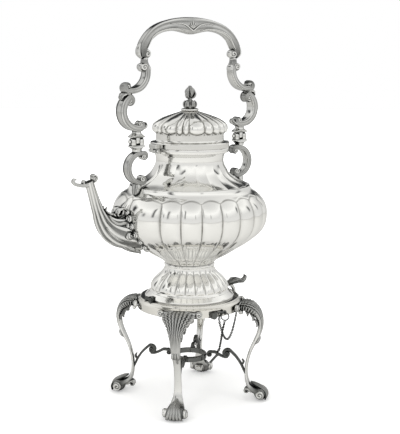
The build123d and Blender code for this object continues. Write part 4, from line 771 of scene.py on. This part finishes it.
def tube(stations, wall, rows=120, cols=144, ridges=5, ridge=0.15, twist=0.9):
    """An oval tube with a wall, and with ridges round it that fade towards the mouth."""
    line = spline(stations, rows)
    s = np.linspace(0, 1, rows)[:, None]
    phi = circle(cols)

    def shell(shrink, relief):
        wave = np.cos(ridges * (phi + twist * s))
        sharp = 1 - np.abs(wave) ** 1.5 * relief * ridge * (1 - 0.75 * smooth(0.45, 0.95, s))
        n = (line[:, 2:3] - shrink) * np.cos(phi) * sharp
        y = (line[:, 3:4] - shrink) * np.sin(phi) * sharp
        dark = np.abs(wave) ** 5 * (1 - 0.75 * smooth(0.4, 0.9, s)) * relief
        return swept(line, n, y), dark

    outer, tarnish_and_shade = shell(0.0, 1.0)
    inner, _ = shell(wall, 0.0)
    return np.vstack([outer, inner[::-1]]), np.vstack([tarnish_and_shade, np.full(inner.shape[:2], 0.6)]), "loop"


spout = [tube(SPOUT, 1.2),
         band([(-133.6, 266.9, 2.2, 5), (-140, 266.6, 2.2, 4.4), (-146, 267.2, 2, 3.8),
               (-150.6, 268.8, 1.8, 3.4), (-153.2, 271.4, 1.5, 3.2), (-152, 274, 1.2, 3),
               (-149.8, 273.6, 0.8, 2.6)], rows=60, side=0.3),
         band([(-137.6, 265.8, 0.8, 3.6), (-140.8, 268.6, 1.2, 3.4), (-140.8, 271.6, 1, 3),
               (-138.6, 271.8, 0.6, 2)], rows=24),
         band([(-131.2, 268.4, 1, 4.6), (-127.4, 271, 1.6, 5.2), (-125.6, 274.4, 1.7, 5.2),
               (-127.6, 277, 1.3, 4.8), (-130.6, 276.2, 0.8, 4)], rows=44, ribs=3, rib=0.5),
         volute((-128.4, 0, 273.8), ALONG_Y, 2.7, 4.8)]
root_leaf = [
    (-88, 234.6, 0.9, 2.2), (-93.6, 237.8, 1.6, 3.6), (-98.8, 236.4, 1.7, 3.8), (-101, 231.6, 1.3, 3),
    (-98.4, 228.4, 0.7, 1.8)
]
back_leaf = [
    (-101.6, 228.6, 0.9, 2.2), (-106.4, 232.2, 1.4, 3.4), (-111.2, 233.6, 1.3, 3.2),
    (-115.2, 237.6, 1, 2.2), (-113.4, 241, 0.6, 1.2)
]
upper_scroll = [
    (-90.5, 222, 1.2, 2), (-97, 222.6, 1.8, 2.4), (-104, 222.2, 1.6, 2.4), (-110.6, 226.2, 1.2, 2),
    (-114.6, 232.4, 0.8, 1.4)
]
lower_scroll = [
    (-88.4, 203, 1, 2), (-94.6, 202, 1.6, 2.4), (-102.4, 204.4, 1.5, 2.4), (-110.4, 210.6, 1.2, 2),
    (-117.6, 219.2, 0.8, 1.3)
]
for side in (-1, 1):
    spout += [
        shifted(band(root_leaf, rows=54, ribs=3, rib=0.5, scallop=0.22, beads=4), side * 4.6),
        shifted(band(back_leaf, rows=54, ribs=3, rib=0.5, scallop=0.2, beads=4), side * 3.4),
        shifted(band(upper_scroll, rows=60, side=0.4), side * 12.0),
        volute((-91.4, side * 14.6, 207.6), (0.35, side, 0.1), 4.6, 2.6, hand=side),
        volute((-91.8, side * 13.2, 219.6), (0.35, side, 0.3), 3.4, 2.2, hand=-side),
        shifted(band(lower_scroll, rows=60, side=0.4), side * 9.2)]
drop_leaf = [
    (-68.2, 182.6, 0.8, 1.4), (-70.4, 184.8, 2, 3.8), (-75, 187.4, 3.2, 6.4), (-82, 190, 3.8, 8.4),
    (-89, 193.4, 3.4, 8.6), (-96, 197.6, 1.4, 5)
]
spout.append(band(drop_leaf, rows=80, ribs=3, rib=1.0, scallop=0.16, beads=4, tarnish_and_shade=0.3))
WALL_MIDDLE = 2.8


def belly_radius(z):
    """Radius of the belly's crowns at a height."""
    line = belly_outside[:-2]
    return np.interp(z, [p[1] for p in line], [p[0] for p in line])


def trimmed(patch):
    """Points inside the belly are pushed straight out from the axis to the middle of the wall."""
    grid, recess, *rest = patch
    wall = belly_radius(grid[..., 2]) - WALL_MIDDLE
    r = np.hypot(grid[..., 0], grid[..., 1])
    push = np.maximum(1.0, wall / np.maximum(r, 1.0))[..., None]
    return (grid * np.concatenate([push, push, np.ones_like(push)], -1), recess, *rest)


spout = [trimmed(patch) for patch in spout]
ROOT_Z, ROOT_HALF_WIDTH, ROOT_HALF_HEIGHT = 211.0, 17.6, 24.6
for side in (-1, 1):
    # Small scrolls laid on the belly all round the root
    for degrees, size in ((28, 3.6), (50, 4.2), (72, 3.8), (94, 4.4), (116, 4), (138, 4.2), (158, 3.4)):
        y = ROOT_HALF_WIDTH * math.sin(math.radians(degrees)) * side
        z = ROOT_Z + ROOT_HALF_HEIGHT * math.cos(math.radians(degrees))
        r = belly_radius(z) + 0.2
        x = -math.sqrt(r * r - y * y)
        spout.append(volute((x, y, z), (x, y, 14.0 * (z - ROOT_Z) / 10.0), size, 2.3, hand=side))

# %% Strainer behind the spout
STRAINER_RADIUS, HOLE_STEP, ROW_STEP = 10.9, 2.2, 1.9
STRAINER_PLACE = np.array([-85.6, 0, 209.4])
ACROSS, UP, OUT = np.array([0, 1.0, 0]), np.array([0.495, 0, -0.869]), np.array([0.869, 0, 0.495])
rho = np.concatenate([np.linspace(0.02, 1, 40), np.linspace(1, 0.02, 8)])[:, None]
theta = circle(96)
u, v = STRAINER_RADIUS * rho * np.cos(theta), STRAINER_RADIUS * rho * np.sin(theta)
row = np.round(v / ROW_STEP)
column = u / HOLE_STEP - 0.5 * (row % 2)
holes = np.hypot(column - np.round(column), v / ROW_STEP - row)
pierced = (1 - smooth(0.2, 0.3, holes)) * (rho < 0.88)
front = np.arange(48)[:, None] < 40
depth = np.where(front, 1.6 - 0.7 * pierced, 0.2)
plate = STRAINER_PLACE + u[..., None] * ACROSS + v[..., None] * UP + depth[..., None] * OUT
# The holes are only shallow dips; the recess value paints them dark, as painted shade for the kettle's inside
strainer = (plate, pierced * front)

# %% [markdown]
# ## Lid
# The finial is a small cast flower: a collar of leaves on a disc, a short stem and a bud with petals.

# %% Finial
FINIAL_FOOT = (0, 0, 343.3)
stem = [(0.4, 3.2), (6.6, 3.2), (7.4, 4.6), (6.6, 7), (4.2, 9.6), (2.9, 12.6), (2.8, 15.6), (0.4, 15.8)]
bud = [(0.4, 15), (3, 15.4), (4.9, 17.6), (6.2, 20.6), (6.4, 22.8), (4.6, 25.6), (2, 27.6), (0.3, 28.1)]
tip = [(0.3, 22), (2.4, 23), (3, 25.6), (2.2, 28.4), (0.2, 29.2)]
finial = [knop(FINIAL_FOOT, stem, cols=96, lobes=6, lobe=0.35),
          knop(FINIAL_FOOT, bud, cols=96, lobes=5, lobe=0.42, turn=0.4),
          knop(FINIAL_FOOT, tip, cols=60, lobes=4, lobe=0.3)]
leaf = band([(4.6, 347, 0.6, 2.2), (6.8, 349, 1, 2.9), (7.2, 352.6, 0.9, 2.4), (5.2, 355.4, 0.5, 1.2)],
            rows=24, cols=32, ribs=3, rib=0.35)
petal = band([(2.4, 358, 0.6, 1.6), (5, 359.4, 1, 2.2), (6.6, 362.6, 0.9, 2), (5.8, 365.6, 0.5, 1)],
             rows=24, cols=32)
for k in range(6):
    finial += turned_about_z([leaf], 60 * k + 30)
for k in range(3):
    finial += turned_about_z([petal], 120 * k + 200)

# %% [markdown]
# ## Legs, feet and arms
# A cabriole leg starts as a shell of ribs fanned over the knee, narrows to a plain shank and ends in a
# scrolled foot with its own ribs. One leg and one arm are made along +X and turned into the four corners.

# %% Leg
def facing_out(degrees, radius, z, size, half, hand, rise=0.0):
    """A volute that faces away from the axis at an angle and a radius."""
    c, s = math.cos(math.radians(degrees)), math.sin(math.radians(degrees))
    return volute((radius * c, radius * s, z), (c, s, rise), size, half, hand=hand)


LEG = [
    (61.9, 115.4, 4.2, 14.5), (67.5, 115.6, 5.8, 16.5), (75, 113.2, 6.4, 15.6), (81.5, 107.8, 5.4, 11.6),
    (85.6, 100, 3.8, 8.2), (86.4, 91.5, 3.2, 6.4), (84.4, 82, 2.8, 5.6), (80.2, 72, 2.5, 5.1),
    (75.4, 62, 2, 4.3), (71.6, 50, 1.8, 4.1), (69.6, 36.9, 1.7, 4.2), (70.2, 25.5, 1.9, 5),
    (73.4, 16.5, 2.8, 7.2), (79, 11.9, 3.8, 9.6), (84, 10.4, 4.4, 10.6)
]
WING_RADIUS = 63.6
# The leg is darkened on the knee and the foot and left bright on the shank: painted shade
leg = [band(LEG, rows=210, cols=128, square=0.9, ribs=8,
            rib=[1.0, 1.1, 1.1, 1.0, 0.8, 0.5, 0.2, 0, 0, 0, 0, 0, 0, 0, 0],
            scallop=[0.24, 0.24, 0.2, 0.14, 0.06, 0, 0, 0, 0, 0, 0, 0, 0], beads=34,
            tarnish_and_shade=[0.5, 0.5, 0.4, 0.35, 0.3, 0.2, 0, 0, 0, 0, 0, 0, 0.2, 0.6, 0.8])]
for side in (-1, 1):
    # Wing: a leaf along the ring that ends in a volute, and a curled lobe where it leaves the knee
    a = np.radians(np.linspace(6, 20, 9) * side)
    wing = np.column_stack([WING_RADIUS * np.cos(a), WING_RADIUS * np.sin(a), np.linspace(116.0, 116.2, 9)])
    phi = circle(32)
    tall = np.interp(np.arange(9), [0, 4, 8], [5.6, 3.2, 2.6])[:, None] * np.sin(phi)
    deep = np.interp(np.arange(9), [0, 4, 8], [2.0, 1.7, 1.4])[:, None] * np.cos(phi)
    out = np.stack([np.cos(a), np.sin(a), 0 * a], -1)
    grid = wing[:, None] + deep[..., None] * out[:, None] + tall[..., None] * np.array([0, 0, 1.0])
    leg.append((grid, np.broadcast_to(0.4 * (np.cos(3 * phi) < -0.5), (9, 32))))
    leg.append(facing_out(20 * side, 64.6, 116.4, 4.1, 2.2, side))
    leg.append(facing_out(12.5 * side, 65.6, 110.6, 3.4, 1.9, -side, 0.1))
    # Leaf tips hanging down each side of the knee: place, drop, size and distance from the leg's middle
    for x, z, drop, size, aside in ((71.0, 109.4, 5.0, 2.8, 11.0), (77.4, 104.2, 6.0, 2.6, 8.6),
                                    (81.8, 97.0, 6.5, 2.1, 6.0)):
        leaf_tip = [(x - 3.0, z + 3.4, 0.8, size * 0.7), (x, z, 1.5, size),
                    (x + 1.0, z - drop * 0.5, 1.3, size * 0.9), (x + 0.4, z - drop, 0.6, size * 0.4)]
        # The leaf tips are darkened evenly, like the knee: painted shade
        leg.append(shifted(band(leaf_tip, rows=26, cols=32, ribs=3, rib=0.4, tarnish_and_shade=0.6), side * aside))
# The small bump on the shank under the knee
bump = [(83.6, 79.4, 0.8, 3), (84.8, 75.4, 1.8, 4.6), (82.6, 71.4, 2, 5.2), (79, 68.4, 0.8, 4.4)]
leg.append(band(bump, rows=30, ribs=3, rib=0.4, tarnish_and_shade=[0.1, 0.2, 0.8]))
# Foot: a roll across the leg, ribbed like a shell, with a volute at each end
FOOT_X, FOOT_Z, FOOT_RADIUS, FOOT_HALF, FLUTE_STEP = 87.5, 7.9, 8.3, 12.8, 3.65
y = np.linspace(-FOOT_HALF, FOOT_HALF, 90)[:, None]
alpha = circle(64)
swell = FOOT_RADIUS * (1 - 0.6 * np.abs(y / FOOT_HALF) ** 1.9)
flutes = np.abs(np.cos(np.pi * y / FLUTE_STEP)) ** 0.7
radius = swell - 0.95 * (1 - flutes) * (1 - 0.4 * smooth(-0.2, -0.9, np.sin(alpha)))
foot = np.stack([FOOT_X + radius * np.cos(alpha), np.broadcast_to(y, radius.shape),
                 np.maximum(FOOT_Z + radius * np.sin(alpha), 0.0)], -1)
# The roll is dark all over, at least 0.6, with its flutes darker: painted shade, and tarnish in the flutes
leg.append((foot, np.maximum((1 - flutes) ** 0.8, 0.6) * np.ones_like(alpha)))
for side in (-1, 1):
    leg.append(volute((87.4, side * 11.4, 8.2), (0, side, 0), 5.2, 2.6, hand=side))
TOE = [
    (75.4, 21.4, 0.5, 0.9), (80.4, 19.6, 1.4, 1.7), (87.2, 16.6, 1.5, 2.2), (92.8, 12.8, 1.5, 2.5),
    (95.6, 7.6, 1.4, 2.3), (94.8, 2.6, 0.8, 1.7)
]
toe_run = np.linspace(0, 1, 60)[:, None, None] ** 0.8
# Each toe rib is darker on its flanks than on its top: painted shade
toe_flank_shade = 0.25 + 0.75 * np.sin(circle(32)) ** 2
for k in range(-2, 3):
    # Five ribs spread from a point at the ankle down over the toe
    grid, recess = band(TOE, rows=60, cols=32, square=0.9, tarnish_and_shade=0.1)
    grid = grid * (1, 1, 1 - 0.035 * abs(k)) + toe_run * np.array([-0.5 * abs(k), 4.1 * k, 0])
    leg.append((grid, np.maximum(recess, toe_flank_shade)))
heel = with_sizes(curl((71, 9.6), 60, 300, 3.6, 1.3), [1.7, 0.8], [5.6, 3.8])
leg.append(band(np.vstack([[(79.5, 9.8, 1.5, 5.6), (75, 10.4, 1.9, 6)], heel]), rows=60, side=0.5))

# %% Arm
outer_arm = np.vstack([[(69.4, 29.8), (66.4, 36), (63, 43), (57.6, 50.8), (52, 56.4)],
                       curl((46.4, 54.2), 60, 330, 5.4, 1.6, 14)])
inner_arm = np.vstack([[(47.4, 49.8), (43.6, 49.6), (40.4, 50.6), (36.2, 52.6), (32, 55), (28.6, 55.2)],
                       curl((25.6, 51.8), 60, 250, 3.8, 1.2, 10)])
arm = [band(with_sizes(outer_arm, [1.3, 1.7, 1.9, 1.7, 0.8], [2.2, 2.6, 2.8, 2.6, 2.0]), rows=130, cols=40,
            side=0.4, hollow=0.4),
       band(with_sizes(inner_arm, [1.2, 1.7, 1.7, 1.5, 0.7], [2.2, 2.5, 2.5, 2.0]), rows=100, cols=40,
            side=0.4, hollow=0.4),
       volute((46.2, 0, 54.0), ALONG_Y, 3.6, 2.9), volute((25.4, 0, 51.4), ALONG_Y, 2.4, 2.7, hand=-1),
       band([(64.6, 41.4, 0.8, 1.8), (66.4, 45.2, 1.3, 2.2), (64.8, 48.6, 0.7, 1.4)], rows=20)]

# %% Rear hook with its thumb leaf
hook = [(49.6, 128.6, 1.9, 2.3), (55, 129.6, 2, 2.3), (60, 128.9, 2, 2.3), (64.2, 126.3, 1.9, 2.3),
        (66.6, 121.8, 1.8, 2.3), (66.8, 117.4, 1.4, 2.2)]
claw = with_sizes(arc((66.8, 114.0), 2.95, 222, -42, 15), [0.7, 0.8, 0.8, 0.7], [2.2, 2.3, 2.2])
thumb = [(57.6, 130.2, 1.8, 3), (62, 131.8, 2.8, 5.6), (68, 133.4, 3.4, 7.6), (73.4, 132.8, 3, 7),
         (78, 131.4, 2.3, 5), (82, 133, 1.9, 3.6), (84, 136.4, 1.5, 2.6), (82.4, 138.4, 0.8, 1.6)]
rear_hook = [band(hook, rows=60, side=0.3), band(claw, rows=50),
             band(thumb, rows=70, cols=72, ribs=5, rib=1.0, scallop=[0.2, 0.2, 0.1, 0], beads=6,
                  tarnish_and_shade=[0.9, 0.8, 0.6, 0.8])]

# %% [markdown]
# ## Chains
# Each chain is a row of oval wire links, every second one turned a quarter. The route's points are the ones
# the solid follows. The links are stepped along its curve at one pitch, all in one array. The drawn pin's
# chain hangs between the stand and the pin, so it rides on no body and keeps the place it is drawn in.

# %% Links along a route
def links(route, pitch=2.5, half_long=1.95, half_wide=1.15, wire=0.42):
    """Oval rings along a curve: each is a circle stretched along the route, with a wire swept round it."""
    fine = spline(route, 800)
    run = np.concatenate([[0], np.cumsum(np.linalg.norm(np.diff(fine, axis=0), axis=1))])
    at = np.arange(0.5 * pitch, run[-1], pitch)

    def point(distance):
        return np.stack([np.interp(distance, run, fine[:, k]) for k in range(3)], -1)

    center = point(at)
    ahead = point(at + 0.5) - point(at - 0.5)
    ahead /= np.linalg.norm(ahead, axis=1, keepdims=True)
    side = np.cross(ahead, np.array([0.31, 0.84, 0.44]))
    side /= np.linalg.norm(side, axis=1, keepdims=True)
    other = np.cross(ahead, side)
    odd = (np.arange(len(at)) % 2 == 1)[:, None]
    across, flat = np.where(odd, other, side), np.where(odd, -side, other)
    a = circle(14)[:, None]
    b = circle(7)
    long = (half_long + wire * np.cos(b)) * np.cos(a)
    wide = (half_wide + wire * np.cos(b)) * np.sin(a)
    high = wire * np.sin(b) + 0 * a
    grids = center[:, None, None]
    for amount, way in ((long, ahead), (wide, across), (high, flat)):
        grids = grids + amount[None, ..., None] * way[:, None, None]
    return [(grid, 0.25, "loop") for grid in grids]


SAG = 34.0
start = np.array([-2.6, -64.6, 107.0])
end = np.array([66.8, -9.4, 110.25])
share = np.linspace(0, 1, 9)[1:]
sag = np.stack([0 * share, 0 * share, -4 * SAG * share * (1 - share)], -1)
PIN_ROUTE = [(-2.6, -64.6, 116.1), tuple(start)]
PIN_ROUTE += [tuple(p) for p in start + (end - start) * share[:, None] + sag]
LOOSE_ROUTE = [
    (5.4, -64.2, 106.0), (10.4, -52.6, 89.0), (17.2, -41.6, 76.6), (22.6, -32.0, 65.6), (25.2, -26.4, 57.4),
    (27.4, -22.0, 56.4), (27.2, -20.8, 52.6)
]

# %% Materials on the pieces that stay, and the new pieces
DARK = ("arm_", "burner", "chain", "pin_chain", "loose", "lock", "tilt")
SMOOTH = ("lid_band", "foot_rim", "finial_disc")
for node_name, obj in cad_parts.items():
    finish = polished if node_name in SMOOTH else dark_cast if node_name.startswith(DARK) else cast
    if node_name == "stand_ring":
        finish = ring_silver
    obj.data.materials.clear()
    obj.data.materials.append(finish)

skin("belly_skin", [belly + ("poles",)], "kettle", polished, ["kettle_belly"])
skin("neck_skin", [neck + ("loop",)], "kettle", polished, ["kettle_neck"])
skin("foot_skin", [kettle_foot + ("loop",)], "kettle", polished, ["kettle_foot"])
skin("lid_skin", [lid_dome + ("poles",)], "lid", polished, ["lid_dome"])
skin("finial_cast", [(grid, np.maximum(recess, 0.4)) for grid, recess in finial], "lid", cast, ["finial"])
skin("spout_cast", spout, "kettle", cast, ["spout"])
skin("strainer_plate", [strainer], "kettle", polished, ["spout_strainer"])
for name, degrees in (("rear", 0), ("front", 180)):
    skin(f"bracket_cast_{name}", turned_about_z(bracket, degrees), "kettle", cast, [f"bracket_{name}"])
    skin(f"bail_side_cast_{name}", turned_about_z(bail_side, degrees), "bail", cast, [f"bail_side_{name}"])
skin("bail_grip_cast", bail_grip, "bail", cast, ["bail_grip"])
for k, name in enumerate(("rear_right", "front_right", "front_left", "rear_left")):
    skin(f"leg_cast_{name}", turned_about_z(leg, 45 + 90 * k), "stand", cast, [f"leg_{name}"])
    skin(f"arm_cast_{name}", turned_about_z(arm, 45 + 90 * k), "stand", dark_cast, [f"arm_{name}"])
skin("rear_hook_cast", rear_hook, "kettle", cast, ["rear_hook"])
pin_links = skin("pin_chain_links", links(PIN_ROUTE), None, dark_cast, ["pin_chain"])
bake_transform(pin_links)
skin("loose_chain_links", links(LOOSE_ROUTE), "stand", dark_cast, ["loose_chain"])

# %% [markdown]
# ## Floor
# White paper under the stand, which glows more the farther it is from the object, so that it meets the
# white background without a horizon. Reflections see plain grey paper instead.

# %% Floor
floor_mesh = bpy.data.meshes.new("floor")
angle = circle(96)
disc = np.stack([6 * np.cos(angle), 6 * np.sin(angle), np.zeros(96)], -1)
floor_mesh.from_pydata(disc.tolist(), [], [list(range(96))])
floor = bpy.data.objects.new("floor", floor_mesh)
scene.collection.objects.link(floor)
paper = bpy.data.materials.new("white_paper")
paper.use_nodes = True
tree = paper.node_tree
away = add(tree, "VectorMath")
away.operation = "LENGTH"
fill(tree, away.inputs[0], add(tree, "TexCoord").outputs["Object"])
glow = add(tree, "MapRange", Value=away.outputs["Value"], From_Min=0.12, From_Max=0.75, To_Min=0.32,
           To_Max=0.9)
shader = tree.nodes["Principled BSDF"]
for label, value in (("Base Color", (0.9, 0.9, 0.9, 1)), ("Roughness", 0.85), ("Specular IOR Level", 0.1),
                     ("Emission Color", glow.outputs["Result"]), ("Emission Strength", 1.0)):
    fill(tree, shader.inputs[label], value)
grey = add(tree, "BsdfDiffuse", Color=(0.85, 0.845, 0.83, 1))
either = add(tree, "MixShader", Fac=add(tree, "LightPath").outputs["Is Camera Ray"])
fill(tree, either.inputs[1], grey.outputs[0])
fill(tree, either.inputs[2], shader.outputs[0])
fill(tree, tree.nodes["Material Output"].inputs["Surface"], either.outputs[0])
floor_mesh.materials.append(paper)
